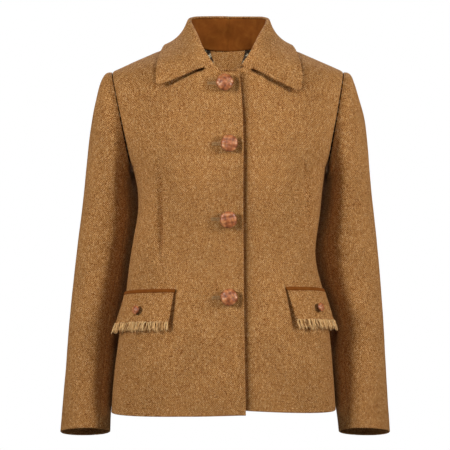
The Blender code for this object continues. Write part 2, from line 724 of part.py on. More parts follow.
def build():
    for piece in list(bpy.data.objects):
        bpy.data.objects.remove(piece, do_unlink=True)
    coat = bpy.data.collections.new(COAT)
    bpy.context.scene.collection.children.link(coat)
    tweed = material("Tan wool tweed", (0.32, 0.17, 0.06), 0.9)
    suede = material("Brown suede", (0.17, 0.05, 0.01), 0.95)
    leather = material("Tan leather", (0.40, 0.16, 0.07), 0.45)
    yarn = material("Straw wool yarn", (0.44, 0.26, 0.10), 0.9)
    print_cloth = material("Printed lining", (0.03, 0.028, 0.025), 0.5)
    body = build_body(tweed)
    build_sleeves(tweed)
    surface = inside_faces(body)
    build_collar(surface, tweed, suede)
    build_inside(surface, tweed, print_cloth)
    build_pockets(tweed, suede, yarn)
    build_buttons(surface, leather)


build()
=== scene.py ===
# %% [markdown]
# # A tweed coat
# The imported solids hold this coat's true shape: every cut piece of cloth as a plain wall. This lesson
# dresses them. Each piece is made again as a fine thin shell on the same surface, laid out flat the way a
# tailor cuts it, and gets the cloth, leather or yarn that the real coat is made of.

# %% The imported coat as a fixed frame
import functools
import math
import random
from collections import namedtuple

import bpy
import numpy as np
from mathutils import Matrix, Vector
from mathutils.bvhtree import BVHTree


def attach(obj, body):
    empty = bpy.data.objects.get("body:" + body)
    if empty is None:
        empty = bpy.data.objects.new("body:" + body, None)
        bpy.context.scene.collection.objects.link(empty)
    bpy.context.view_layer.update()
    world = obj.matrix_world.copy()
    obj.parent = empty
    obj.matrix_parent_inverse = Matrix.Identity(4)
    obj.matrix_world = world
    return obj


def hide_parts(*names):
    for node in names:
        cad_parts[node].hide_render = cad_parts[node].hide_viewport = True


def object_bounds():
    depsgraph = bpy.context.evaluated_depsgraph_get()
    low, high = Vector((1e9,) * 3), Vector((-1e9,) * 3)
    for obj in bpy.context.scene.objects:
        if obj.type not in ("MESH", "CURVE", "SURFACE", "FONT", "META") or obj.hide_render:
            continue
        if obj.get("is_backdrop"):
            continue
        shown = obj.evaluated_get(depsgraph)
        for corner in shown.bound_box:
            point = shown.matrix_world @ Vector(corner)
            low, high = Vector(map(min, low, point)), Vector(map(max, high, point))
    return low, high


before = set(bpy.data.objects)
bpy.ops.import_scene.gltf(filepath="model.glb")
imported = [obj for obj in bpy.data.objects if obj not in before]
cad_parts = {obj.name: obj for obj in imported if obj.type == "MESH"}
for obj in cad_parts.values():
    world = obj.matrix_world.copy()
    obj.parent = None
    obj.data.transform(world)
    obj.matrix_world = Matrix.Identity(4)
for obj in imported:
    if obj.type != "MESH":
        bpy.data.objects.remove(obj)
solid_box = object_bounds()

print(len(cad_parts), "solids, from", [round(v, 3) for v in solid_box[0]], "to",
      [round(v, 3) for v in solid_box[1]])

# %% [markdown]
# ## Camera
# A product picture is taken from far away with a long lens, so that the coat's near and far parts have
# almost the same scale. A camera without perspective would be simpler, but the real one has a little. Its
# lens follows from three plain facts: how far off the camera stands, how wide the picture is in pixels, and
# how much cloth one pixel covers.

# %% Camera
PICTURE_WIDE = 450          # pixels
PIXEL = 0.00168             # metres of coat in one pixel, at the coat's middle plane
CENTRE_PIXEL = 227.75       # the picture column of the coat's centre line
CAMERA_AWAY = 3.2
CAMERA_HEIGHT = -0.294
FILM_WIDE = 36.0            # mm


def placed(name, data):
    """A new object in the scene, for a camera, a lamp or a mesh."""
    made = bpy.data.objects.new(name, data)
    bpy.context.scene.collection.objects.link(made)
    return made


camera = placed("camera", bpy.data.cameras.new("camera"))
camera.data.sensor_width = FILM_WIDE
camera.data.lens = FILM_WIDE * CAMERA_AWAY / (PICTURE_WIDE * PIXEL)
camera.location = ((PICTURE_WIDE / 2 - CENTRE_PIXEL) * PIXEL, -CAMERA_AWAY, CAMERA_HEIGHT)
camera.rotation_euler = (math.radians(90), 0, 0)
bpy.context.scene.camera = camera
print("camera lens", round(camera.data.lens, 1), "mm")

# %% [markdown]
# ## Colour and shader nodes
# Colours are written as sRGB hex values, the way a colour picker shows them, and turned to linear light
# once. Shader nodes could be wired by hand in the editor. Here one small function adds any node, with its
# settings, with whatever feeds its sockets and with the stops of a colour ramp, so a whole material reads as
# a list.

# %% Colour and node helpers
def linear(code):
    """An sRGB hex value as linear red, green, blue and alpha."""
    parts = [int(code[at:at + 2], 16) / 255 for at in (1, 3, 5)]
    bright = [part / 12.92 if part <= 0.04045 else ((part + 0.055) / 1.055) ** 2.4 for part in parts]
    return (*bright, 1.0)


def add(tree, kind, settings=(), sockets=(), stops=()):
    """One shader node: its settings, the link or plain value for each socket, and its colour stops."""
    made = tree.nodes.new("ShaderNode" + kind)
    for name, value in dict(settings).items():
        setattr(made, name, value)
    for name, value in dict(sockets).items():
        if isinstance(value, bpy.types.NodeSocket):
            tree.links.new(value, made.inputs[name])
        else:
            made.inputs[name].default_value = value
    for index, (place, code) in enumerate(stops):
        band = made.color_ramp.elements
        stop = band[index] if index < len(band) else band.new(place)
        stop.position = place
        stop.color = linear(code)
    return made


def blank(name, **plain):
    """A new material, its node tree and its shader, with plain values set on the shader's own sockets."""
    made = bpy.data.materials.new(name)
    made.use_nodes = True
    shader = made.node_tree.nodes["Principled BSDF"]
    for socket, value in plain.items():
        shader.inputs[socket.replace("_", " ")].default_value = value
    return made, made.node_tree, shader


MIX_COLOUR = {"data_type": "RGBA"}      # its sockets: 0 the share, 6 and 7 the two colours
MIXED = 2                               # its colour output
NOISE_LOW = 0.3                         # almost all of a noise lies between these two
NOISE_HIGH = 0.7
print("helpers ready")

# %% [markdown]
# ## Lamps
# The picture has soft studio light on plain white. A soft box stands on each side of the camera, so the
# front is even from edge to edge and the inner sides of the sleeves, which turn to the body, fall into its
# shadow. A weaker box in front, above the camera, lays a shadow under the collar, and a small lamp with a
# narrow beam reaches into the neck. One box behind is only for views of the back. One bright world would be
# simpler, but it lights every fold alike and flattens the cloth.

# %% Lamps
SoftBox = namedtuple("SoftBox", "name place aim side spread watts")
SOFT_BOXES = (
    SoftBox("left box", (-2.2, -1.6, 0.42), (0, 0, -0.22), 0.7, 56, 5.2),
    SoftBox("right box", (2.3, -1.5, 0.38), (0, 0, -0.22), 0.7, 56, 5.5),
    SoftBox("front box", (0.0, -2.8, 1.00), (0, 0, -0.22), 0.8, 56, 1.9),
    SoftBox("back box", (0.0, 2.1, 1.70), (0, 0, -0.25), 0.8, 60, 5.0),
)
NECK_LAMP = (0.0, -2.9, 0.42)
NECK_LAMP_AIM = (-0.001, 0.030, -0.002)
NECK_LAMP_BEAM = 2.5        # degrees
NECK_LAMP_ROUND = 0.02      # metres, the bulb's radius
NECK_LAMP_WATTS = 280


def aim_lamp(lamp, place, aim):
    """Stand a lamp in its place, pointed at its aim."""
    stand = placed(lamp.name, lamp)
    stand.location = place
    stand.rotation_euler = (Vector(aim) - Vector(place)).to_track_quat("-Z", "Y").to_euler()


for box in SOFT_BOXES:
    lamp = bpy.data.lights.new(box.name, "AREA")
    lamp.shape = "SQUARE"
    lamp.size = box.side
    lamp.spread = math.radians(box.spread)
    lamp.energy = box.watts
    aim_lamp(lamp, box.place, box.aim)

lamp = bpy.data.lights.new("neck lamp", "SPOT")
lamp.energy = NECK_LAMP_WATTS
lamp.spot_size = math.radians(NECK_LAMP_BEAM)
lamp.spot_blend = 1.0
lamp.shadow_soft_size = NECK_LAMP_ROUND
aim_lamp(lamp, NECK_LAMP, NECK_LAMP_AIM)
print(len(SOFT_BOXES), "soft boxes and a lamp for the neck")

# %% [markdown]
# ## Backdrop and floor
# A studio lights its white backdrop with lamps of its own. So the camera sees the world pure white, while
# the coat gets only the little light that a white room sends back. The floor is painted plaster, dull with a
# faint speckle. It lies where a wearer's feet would be, well below the hem and out of the frame.

# %% Backdrop and floor
ROOM_LIGHT = 0.09           # the room's share of light on the coat
FLOOR_HEIGHT = -1.40
FLOOR_ROUND = 3.0
FLOOR_STEPS = 96
SPECKLES = 40.0             # across the floor

world = bpy.data.worlds.new("white_studio")
world.use_nodes = True
backdrop = world.node_tree.nodes["Background"]
backdrop.inputs["Color"].default_value = linear("#ffffff")
seen = add(world.node_tree, "LightPath").outputs["Is Camera Ray"]
seen = add(world.node_tree, "MapRange", (), {0: seen, 1: 0.0, 2: 1.0, 3: ROOM_LIGHT, 4: 1.0})
world.node_tree.links.new(seen.outputs[0], backdrop.inputs["Strength"])
bpy.context.scene.world = world
bpy.context.scene.view_settings.view_transform = "Standard"

plaster, tree, shader = blank("white painted plaster", Roughness=0.85)
speckle = add(tree, "TexNoise", (), {"Scale": SPECKLES, "Detail": 4.0}).outputs[0]
paint = add(tree, "ValToRGB", (), {0: speckle}, ((NOISE_LOW, "#f3f2f0"), (NOISE_HIGH, "#f8f7f5")))
tree.links.new(paint.outputs[0], shader.inputs["Base Color"])

turns = np.linspace(0, math.tau, FLOOR_STEPS, endpoint=False)
edge = [(FLOOR_ROUND * math.cos(t), FLOOR_ROUND * math.sin(t), FLOOR_HEIGHT) for t in turns]
floor_mesh = bpy.data.meshes.new("floor")
floor_mesh.from_pydata(edge, [], [tuple(range(FLOOR_STEPS))])
floor_mesh.materials.append(plaster)
floor = placed("floor", floor_mesh)
floor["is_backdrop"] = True
print("floor at", FLOOR_HEIGHT)

# %% [markdown]
# ## Wool tweed
# Tweed is woven from dyed-in-the-wool yarn. Here pale tan warp threads cross brown weft threads two over and
# two under, in pairs, which makes a tiny pale and dark check. Each yarn is spun from mixed fibres, so its
# shade drifts along its length, and small nubs of cream and rust wool catch the eye. A photograph of cloth
# could be laid on, but counting threads by formula stays sharp at any size. The real threads lie under a
# millimetre apart, so a check is one pixel of the picture. They are drawn a little coarser here to show at
# all.

# %% Wool tweed
THREAD = 0.92               # mm from thread to thread; about 0.85 on the real cloth, drawn coarser to show
PAIR = 2                    # threads that go over or under together
WANDER = 12.0               # mm, the length in which a thread strays from its straight line
STRAY_BY = 1.2              # threads
STRAY = 0.16                # share of the crossings where a thick or thin yarn breaks the check
SLUB = 9                    # threads along which one yarn keeps its shade
NUB = 1.4                   # mm across a wool nub
PATCH = 70.0                # mm, slow drift of the cloth's shade
FUZZ = 0.45                 # mm between loose fibres
YARN_RISE = 0.00035         # metres, for the bump
YARN_UNLIKE = 1.7           # steps of the noise from one yarn to the next, so that neighbours differ
SHADE_DRIFT = (0.93, 1.07)  # the darkest and the lightest patch
MILLIMETRE = 1000.0         # of them in one unit of the flat pattern

PALE_YARN = ((0.25, "#976535"), (0.50, "#bf8c52"), (0.75, "#dcb17a"))
BROWN_YARN = ((0.25, "#5d3511"), (0.50, "#7f4b1b"), (0.75, "#a06a35"))
# A nub shows where its channel of a cell's random colour is past the value in rare.
WoolNub = namedtuple("WoolNub", "channel rare shows colour")
WOOL_NUBS = (
    WoolNub(0, 0.94, 0.4, "#dcb684"),
    WoolNub(1, 0.92, 0.5, "#7d4a22"),
)


def wool_tweed(name):
    """Matt woven wool: threads counted on the flat pattern, with slubs, nubs and a fuzzy bump."""
    made, tree, shader = blank(name, Sheen_Weight=0.06, Sheen_Roughness=0.6, Specular_IOR_Level=0.15)
    shader.inputs["Sheen Tint"].default_value = linear("#e0b988")
    flat = add(tree, "UVMap", {"uv_map": "flat"}).outputs[0]
    threads = add(tree, "VectorMath", {"operation": "SCALE"}, {0: flat, "Scale": MILLIMETRE / THREAD})
    wander = add(tree, "TexNoise", (), {"Vector": flat, "Scale": MILLIMETRE / WANDER, "Detail": 1.0})
    threads = add(tree, "VectorMath", {"operation": "MULTIPLY_ADD"},
                  {0: wander.outputs[1], 1: (STRAY_BY, STRAY_BY, 0.0), 2: threads.outputs[0]})
    count = add(tree, "SeparateXYZ", (), {0: threads.outputs[0]}).outputs
    warp = add(tree, "Math", {"operation": "FLOOR"}, {0: count[0]}).outputs[0]
    weft = add(tree, "Math", {"operation": "FLOOR"}, {0: count[1]}).outputs[0]
    pairs = []
    for number in (warp, weft):
        pair = add(tree, "Math", {"operation": "DIVIDE"}, {0: number, 1: PAIR}).outputs[0]
        pairs.append(add(tree, "Math", {"operation": "FLOOR"}, {0: pair}).outputs[0])
    step = add(tree, "Math", {"operation": "ADD"}, {0: pairs[0], 1: pairs[1]}).outputs[0]
    over = add(tree, "Math", {"operation": "FLOORED_MODULO"}, {0: step, 1: 2}).outputs[0]
    crossing = add(tree, "CombineXYZ", (), {0: warp, 1: weft}).outputs[0]
    stray = add(tree, "TexWhiteNoise", {"noise_dimensions": "2D"}, {"Vector": crossing}).outputs[0]
    stray = add(tree, "Math", {"operation": "LESS_THAN"}, {0: stray, 1: STRAY}).outputs[0]
    over = add(tree, "Math", {"operation": "SUBTRACT"}, {0: over, 1: stray}).outputs[0]
    over = add(tree, "Math", {"operation": "ABSOLUTE"}, {0: over}).outputs[0]
    shades = []
    for number, run, stops in ((warp, count[1], PALE_YARN), (weft, count[0], BROWN_YARN)):
        along = add(tree, "Math", {"operation": "DIVIDE"}, {0: run, 1: SLUB}).outputs[0]
        apart = add(tree, "Math", {"operation": "MULTIPLY"}, {0: number, 1: YARN_UNLIKE}).outputs[0]
        place = add(tree, "CombineXYZ", (), {0: apart, 1: along}).outputs[0]
        slub = add(tree, "TexNoise", (), {"Vector": place, "Scale": 1.0, "Detail": 2.0}).outputs[0]
        shades.append(add(tree, "ValToRGB", (), {0: slub}, stops).outputs[0])
    woven = add(tree, "Mix", MIX_COLOUR, {0: over, 6: shades[1], 7: shades[0]}).outputs[MIXED]
    nubs = add(tree, "TexVoronoi", (), {"Vector": flat, "Scale": MILLIMETRE / NUB, "Randomness": 1.0})
    pick = add(tree, "SeparateXYZ", (), {0: nubs.outputs["Color"]}).outputs
    for nub in WOOL_NUBS:
        found = add(tree, "Math", {"operation": "GREATER_THAN"}, {0: pick[nub.channel], 1: nub.rare})
        share = add(tree, "Math", {"operation": "MULTIPLY"}, {0: found.outputs[0], 1: nub.shows}).outputs[0]
        woven = add(tree, "Mix", MIX_COLOUR, {0: share, 6: woven, 7: linear(nub.colour)}).outputs[MIXED]
    drift = add(tree, "TexNoise", (), {"Vector": flat, "Scale": MILLIMETRE / PATCH, "Detail": 2.0}).outputs[0]
    drift = add(tree, "MapRange", (),
                {0: drift, 1: NOISE_LOW, 2: NOISE_HIGH, 3: SHADE_DRIFT[0], 4: SHADE_DRIFT[1]}).outputs[0]
    woven = add(tree, "Mix", {**MIX_COLOUR, "blend_type": "MULTIPLY"}, {0: 1.0, 6: woven, 7: drift})
    tree.links.new(woven.outputs[MIXED], shader.inputs["Base Color"])
    crowns = []
    for number in count[:2]:
        crowns.append(add(tree, "Math", {"operation": "PINGPONG"}, {0: number, 1: 0.5}).outputs[0])
    crown = add(tree, "Mix", (), {0: over, 2: crowns[1], 3: crowns[0]}).outputs[0]
    fuzz = add(tree, "TexNoise", (), {"Vector": flat, "Scale": MILLIMETRE / FUZZ, "Detail": 3.0}).outputs[0]
    height = add(tree, "Math", {"operation": "MULTIPLY_ADD"}, {0: fuzz, 1: 0.5, 2: crown}).outputs[0]
    bump = add(tree, "Bump", (), {"Strength": 0.6, "Distance": YARN_RISE, "Height": height})
    tree.links.new(bump.outputs[0], shader.inputs["Normal"])
    rough = add(tree, "MapRange", (), {0: fuzz, 1: NOISE_LOW, 2: NOISE_HIGH, 3: 0.80, 4: 0.97}).outputs[0]
    tree.links.new(rough, shader.inputs["Roughness"])
    return made


tweed = wool_tweed("tan wool tweed")
print(tweed.name, "with", len(tweed.node_tree.nodes), "nodes, thread", THREAD, "mm")

# %% [markdown]
# ## Suede
# Suede is split hide, brushed until its fibres stand up. It looks dull and deep, with cloudy lighter and
# darker strokes where a hand has passed over it. Hair particles could show the nap, but its fibres are finer
# than a pixel here, so sheen, a cloudy colour and a fine bump stand for them.

# %% Suede
NAP = 0.6                   # mm, length of the brushed fibre
STROKE = 14.0               # mm, the cloudy strokes left by brushing


def brushed_suede(name, stops):
    """Split hide with a brushed nap: cloudy, with sheen and no gloss."""
    made, tree, shader = blank(name, Sheen_Weight=0.25, Sheen_Roughness=0.4, Specular_IOR_Level=0.1)
    shader.inputs["Sheen Tint"].default_value = linear("#c98f5a")
    flat = add(tree, "UVMap", {"uv_map": "flat"}).outputs[0]
    cloud = add(tree, "TexNoise", (), {"Vector": flat, "Scale": MILLIMETRE / STROKE, "Detail": 5.0,
                                       "Roughness": 0.65, "Distortion": 0.6}).outputs[0]
    brushed = add(tree, "ValToRGB", (), {0: cloud}, stops).outputs[0]
    tree.links.new(brushed, shader.inputs["Base Color"])
    nap = add(tree, "TexNoise", (), {"Vector": flat, "Scale": MILLIMETRE / NAP, "Detail": 3.0}).outputs[0]
    bump = add(tree, "Bump", (), {"Strength": 0.5, "Distance": 0.0003, "Height": nap})
    tree.links.new(bump.outputs[0], shader.inputs["Normal"])
    rough = add(tree, "MapRange", (), {0: nap, 1: NOISE_LOW, 2: NOISE_HIGH, 3: 0.85, 4: 1.0}).outputs[0]
    tree.links.new(rough, shader.inputs["Roughness"])
    return made


suede = brushed_suede("brown split-hide suede", ((0.25, "#6d3a10"), (0.5, "#7b4314"), (0.75, "#87501c")))
print(suede.name)

# %% [markdown]
# ## Plaited leather
# The buttons are straps of smooth tanned hide, lightly waxed: a low, narrow gloss on the crowns. Down in the
# plaiting and under the dome the colour is darkened with painted shade. The dark could be painted by hand.
# Here the mesh itself says how deep each point lies between the straps, and so how much painted shade it
# gets.

# %% Leather for the knots
GRAIN = 0.9                 # mm between the creases of the grain
CLOUDS = 190.0              # to the metre, so the hide's lighter and darker clouds are about 5 mm wide
HIDE = ((0.3, "#7e3f1c"), (0.5, "#b4683a"), (0.7, "#dc9a64"))
# The colour of the painted shade between the straps and under the dome.
PAINTED_STRAP_SHADE = "#47200a"


def knot_leather(name):
    """Smooth hide, with painted shade between the straps and under the dome, set by an attribute of the mesh.
    """
    made, tree, shader = blank(name, Coat_Weight=0.12, Coat_Roughness=0.2, IOR=1.5)
    deep = add(tree, "Attribute", {"attribute_name": "painted_knot_shade"}).outputs["Fac"]
    place = add(tree, "TexCoord").outputs["Object"]
    cloud = add(tree, "TexNoise", (), {"Vector": place, "Scale": CLOUDS, "Detail": 4.0}).outputs[0]
    hide = add(tree, "ValToRGB", (), {0: cloud}, HIDE).outputs[0]
    # Painted shade: the hide is mixed towards dark brown where the mesh's attribute says.
    shaded_hide = add(tree, "Mix", MIX_COLOUR, {0: deep, 6: hide, 7: linear(PAINTED_STRAP_SHADE)}).outputs[MIXED]
    tree.links.new(shaded_hide, shader.inputs["Base Color"])
    grain = add(tree, "TexVoronoi", {"feature": "DISTANCE_TO_EDGE"},
                {"Vector": place, "Scale": MILLIMETRE / GRAIN}).outputs[0]
    grain = add(tree, "MapRange", (), {0: grain, 1: 0.0, 2: 0.12, 3: 0.0, 4: 1.0}).outputs[0]
    bump = add(tree, "Bump", (), {"Strength": 0.25, "Distance": 0.0002, "Height": grain})
    tree.links.new(bump.outputs[0], shader.inputs["Normal"])
    rough = add(tree, "MapRange", (), {0: cloud, 1: NOISE_LOW, 2: NOISE_HIGH, 3: 0.44, 4: 0.28}).outputs[0]
    tree.links.new(rough, shader.inputs["Roughness"])
    return made


leather = knot_leather("tan plaited leather")
print(leather.name)

# %% [markdown]
# ## Printed lining
# The lining is a smooth satin with a print, here a plain repeat of small five-petalled flowers. A picture of
# a print could be laid on, but a formula needs no file: each flower is a circle whose edge waves five times.

# %% Printed lining
FLOWER_APART = 13.0         # mm from flower to flower
PETALS = 5
PETAL_REACH = 0.25          # of the distance between flowers
PETAL_DIP = 0.09
HEART_REACH = 0.07
PRINT_DRIFT = 9.0           # mm, the print's slow change of shade
SATIN_THREAD = 0.4          # mm


def printed_lining(name):
    """Printed satin: rows of flowers, each row shifted by half a step."""
    made, tree, shader = blank(name, Roughness=0.55, Sheen_Weight=0.05, IOR=1.5)
    flat = add(tree, "UVMap", {"uv_map": "flat"}).outputs[0]
    scaled = add(tree, "VectorMath", {"operation": "SCALE"}, {0: flat, "Scale": MILLIMETRE / FLOWER_APART})
    across, up, _ = add(tree, "SeparateXYZ", (), {0: scaled.outputs[0]}).outputs
    row = add(tree, "Math", {"operation": "FLOOR"}, {0: up}).outputs[0]
    shift = add(tree, "Math", {"operation": "MULTIPLY_ADD"}, {0: row, 1: 0.5, 2: across}).outputs[0]
    local = []
    for place in (shift, up):
        share = add(tree, "Math", {"operation": "FRACT"}, {0: place}).outputs[0]
        local.append(add(tree, "Math", {"operation": "SUBTRACT"}, {0: share, 1: 0.5}).outputs[0])
    angle = add(tree, "Math", {"operation": "ARCTAN2"}, {0: local[1], 1: local[0]}).outputs[0]
    angle = add(tree, "Math", {"operation": "MULTIPLY_ADD"}, {0: angle, 1: PETALS, 2: row}).outputs[0]
    petal = add(tree, "Math", {"operation": "COSINE"}, {0: angle}).outputs[0]
    reach = add(tree, "Math", {"operation": "MULTIPLY_ADD"}, {0: petal, 1: PETAL_DIP, 2: PETAL_REACH})
    point = add(tree, "CombineXYZ", (), {0: local[0], 1: local[1]}).outputs[0]
    away = add(tree, "VectorMath", {"operation": "LENGTH"}, {0: point}).outputs["Value"]
    flower = add(tree, "Math", {"operation": "LESS_THAN"}, {0: away, 1: reach.outputs[0]}).outputs[0]
    heart = add(tree, "Math", {"operation": "LESS_THAN"}, {0: away, 1: HEART_REACH}).outputs[0]
    drift = add(tree, "TexNoise", (),
                {"Vector": flat, "Scale": MILLIMETRE / PRINT_DRIFT, "Detail": 3.0}).outputs[0]
    ground = add(tree, "ValToRGB", (), {0: drift}, ((0.4, "#2b1e11"), (0.6, "#43311c"))).outputs[0]
    bloom = add(tree, "ValToRGB", (), {0: drift}, ((0.35, "#9c8f70"), (0.65, "#d9cfb2"))).outputs[0]
    shown = add(tree, "Mix", MIX_COLOUR, {0: flower, 6: ground, 7: bloom}).outputs[MIXED]
    shown = add(tree, "Mix", MIX_COLOUR, {0: heart, 6: shown, 7: linear("#6a5430")}).outputs[MIXED]
    tree.links.new(shown, shader.inputs["Base Color"])
    weave = add(tree, "TexNoise", (),
                {"Vector": flat, "Scale": MILLIMETRE / SATIN_THREAD, "Detail": 2.0}).outputs[0]
    bump = add(tree, "Bump", (), {"Strength": 0.2, "Distance": 0.0001, "Height": weave})
    tree.links.new(bump.outputs[0], shader.inputs["Normal"])
    return made


lining = printed_lining("printed satin lining")
print(lining.name, "with flowers every", FLOWER_APART, "mm")

# %% [markdown]
# ## Yarn and thread
# Fringe and stitches are spun from fibres, so they look soft at the edge, and no two strands have quite the
# same shade. A material for each shade could do it. Here each strand is an island of its mesh, and Blender's
# random number for an island picks its shade.

# %% Yarn and thread
FIBRES = 900.0              # to the metre: clumps of a millimetre, since single fibres are too fine to show


def spun_yarn(name, stops, rough):
    """Yarn and thread: each strand is its own island of mesh, and takes its own shade."""
    made, tree, shader = blank(name, Sheen_Weight=0.3, Sheen_Roughness=0.5, Specular_IOR_Level=0.2)
    strand = add(tree, "NewGeometry").outputs["Random Per Island"]
    place = add(tree, "TexCoord").outputs["Object"]
    fibre = add(tree, "TexNoise", (), {"Vector": place, "Scale": FIBRES, "Detail": 3.0}).outputs[0]
    mixed = add(tree, "Math", {"operation": "MULTIPLY"}, {0: fibre, 1: 0.5}).outputs[0]
    mixed = add(tree, "Math", {"operation": "MULTIPLY_ADD"}, {0: strand, 1: 0.5, 2: mixed}).outputs[0]
    shade = add(tree, "ValToRGB", (), {0: mixed}, stops).outputs[0]
    tree.links.new(shade, shader.inputs["Base Color"])
    bump = add(tree, "Bump", (), {"Strength": 0.4, "Distance": 0.0002, "Height": fibre})
    tree.links.new(bump.outputs[0], shader.inputs["Normal"])
    fuzzy = add(tree, "MapRange", (),
                {0: fibre, 1: NOISE_LOW, 2: NOISE_HIGH, 3: rough - 0.1, 4: rough}).outputs[0]
    tree.links.new(fuzzy, shader.inputs["Roughness"])
    return made


straw = spun_yarn("straw wool yarn", ((0.2, "#8c5a28"), (0.45, "#dba968"), (0.8, "#f9d79c")), 0.95)
thread = spun_yarn("tan sewing thread", ((0.2, "#9a713f"), (0.5, "#c59a62"), (0.8, "#dcb67e")), 0.75)
dark_thread = spun_yarn("brown sewing thread", ((0.2, "#5a3a1b"), (0.5, "#704a24"), (0.8, "#8a602f")), 0.8)
print(straw.name, thread.name, dark_thread.name, sep=", ")

# %% [markdown]
# ## The coat's sizes
# These tables say where the cloth's outside runs: down the centre front and back, down both sides, round
# each sleeve and round the collar. They are the sizes that the solids were made from, in metres, with the
# wearer's right at minus X and the front at minus Y. Only the collar's edge stands off up to 2 mm more, for
# the shadow under it. Points could be read off the solids instead, but tables give a grid as fine as the
# cloth needs.

# %% Sizes of the body
RIGHT = -1
LEFT = 1
SIDE_NAME = {RIGHT: "right", LEFT: "left"}

CLOTH = 0.0022              # thickness of the tweed with what backs it
FALL_CLOTH = 0.0026
STAND_CLOTH = 0.0018
LINING_CLOTH = 0.0010
FLAP_CLOTH = 0.0022
LIFT = 0.0009               # room under a piece that lies on another
SEAM_GAP = 0.0003           # between two pieces that are sewn together
FULLNESS = 0.86             # below 1 a row is fuller than an ellipse
SLEEVE_FULLNESS = 0.94

UNDERARM = -0.197
HEM_FRONT = {RIGHT: -0.6005, LEFT: -0.5905}
HEM_SIDE = {RIGHT: -0.607, LEFT: -0.603}
HEM_BACK = -0.611
NECK_HALF = 0.070
NECK_MIDDLE_Y = -0.010
NECK_FRONT = 0.0968
NECK_BACK = 0.080
NECK_POINT_Z = 0.015
NECK_FRONT_DROP = 0.058
NECK_BACK_DROP = 0.010
NECK_SCOOP = 1.3            # above 1 the neckline stays high at the sides and dips late

HIDDEN_EDGE = 0.020
HIDDEN_DIP = 0.0055
LAYER = CLOTH + 0.0012
LAP_INNER = 0.078
LAP_OUTER = 0.042
TOP_EDGE_SHARE = 0.20
BUST_X = 0.084
BUST_Z = -0.205
BUST_RISE = 0.009
BUST_WIDE = 0.055
BUST_TALL = 0.075

CentreLevel = namedtuple("CentreLevel", "height front_depth back_depth")
CENTRE_LEVELS = (
    CentreLevel(-0.615, 0.126, 0.124),
    CentreLevel(-0.540, 0.123, 0.120),
    CentreLevel(-0.450, 0.115, 0.106),
    CentreLevel(-0.365, 0.107, 0.087),
    CentreLevel(-0.290, 0.112, 0.091),
    CentreLevel(-0.220, 0.120, 0.100),
    CentreLevel(-0.140, 0.118, 0.106),
    CentreLevel(-0.080, 0.114, 0.101),
    CentreLevel(-0.042, 0.109, 0.091),
    CentreLevel(0.005, 0.100, 0.0722),
)

SideLevel = namedtuple("SideLevel", "height right_half left_half")
SIDE_LEVELS = (
    SideLevel(-0.610, 0.1960, 0.1820),
    SideLevel(-0.554, 0.1920, 0.1780),
    SideLevel(-0.484, 0.1830, 0.1720),
    SideLevel(-0.408, 0.1710, 0.1610),
    SideLevel(-0.371, 0.1665, 0.1510),
    SideLevel(-0.345, 0.1630, 0.1475),
    SideLevel(-0.315, 0.1580, 0.1495),
    SideLevel(-0.267, 0.1505, 0.1560),
    SideLevel(-0.235, 0.1520, 0.1595),
    SideLevel(-0.197, 0.1610, 0.1660),
)

EdgeLevel = namedtuple("EdgeLevel", "height edge_x")
FRONT_EDGE = (
    EdgeLevel(-0.605, 0.0280),
    EdgeLevel(-0.460, 0.0255),
    EdgeLevel(-0.280, 0.0240),
    EdgeLevel(-0.100, 0.0225),
    EdgeLevel(-0.042, 0.0180),
)

Fold = namedtuple("Fold", "side x top bottom half_width depth")
FRONT_FOLDS = (
    Fold(RIGHT, -0.106, -0.215, -0.375, 0.014, 0.0035),
    Fold(LEFT, 0.131, -0.180, -0.345, 0.016, 0.0035),
)
print(len(CENTRE_LEVELS), "levels down the centre and", len(SIDE_LEVELS), "down the sides")

# %% Sizes of the sleeves
SleeveRing = namedtuple(
    "SleeveRing", "along out_z in_z right_out right_in left_out left_in middle_y half_depth pitch"
)
SLEEVE_RINGS = (
    SleeveRing(0.00, -0.0365, -0.197, 0.1940, 0.1610, 0.1940, 0.1660, 0.002, 0.0580, 0.0),
    SleeveRing(0.05, -0.0395, -0.203, 0.2045, 0.1655, 0.2040, 0.1705, 0.003, 0.0605, 0.0),
    SleeveRing(0.10, -0.0520, -0.207, 0.2130, 0.1660, 0.2115, 0.1705, 0.004, 0.0625, 0.0),
    SleeveRing(0.16, -0.0780, -0.212, 0.2200, 0.1650, 0.2200, 0.1695, 0.006, 0.0645, -1.0),
    SleeveRing(0.22, -0.1100, -0.219, 0.2265, 0.1630, 0.2285, 0.1680, 0.010, 0.0660, -2.0),
    SleeveRing(0.29, -0.1500, -0.230, 0.2330, 0.1595, 0.2345, 0.1650, 0.016, 0.0665, -3.0),
    SleeveRing(0.36, -0.1980, -0.248, 0.2390, 0.1550, 0.2395, 0.1610, 0.023, 0.0665, -4.0),
    SleeveRing(0.44, -0.2500, -0.280, 0.2450, 0.1525, 0.2450, 0.1555, 0.030, 0.0650, -5.0),
    SleeveRing(0.54, -0.3180, -0.332, 0.2540, 0.1590, 0.2530, 0.1470, 0.036, 0.0625, -3.0),
    SleeveRing(0.64, -0.3860, -0.392, 0.2618, 0.1720, 0.2592, 0.1585, 0.037, 0.0590, 3.0),
    SleeveRing(0.75, -0.4620, -0.464, 0.2690, 0.1862, 0.2645, 0.1788, 0.033, 0.0550, 8.0),
    SleeveRing(0.86, -0.5400, -0.540, 0.2740, 0.1914, 0.2675, 0.1782, 0.020, 0.0500, 11.0),
    SleeveRing(0.94, -0.5970, -0.596, 0.2782, 0.1962, 0.2702, 0.1822, 0.008, 0.0475, 13.0),
    SleeveRing(1.00, -0.6410, -0.639, 0.2810, 0.1968, 0.2722, 0.1858, -0.004, 0.0460, 13.5),
)
Tuck = namedtuple("Tuck", "along depth")
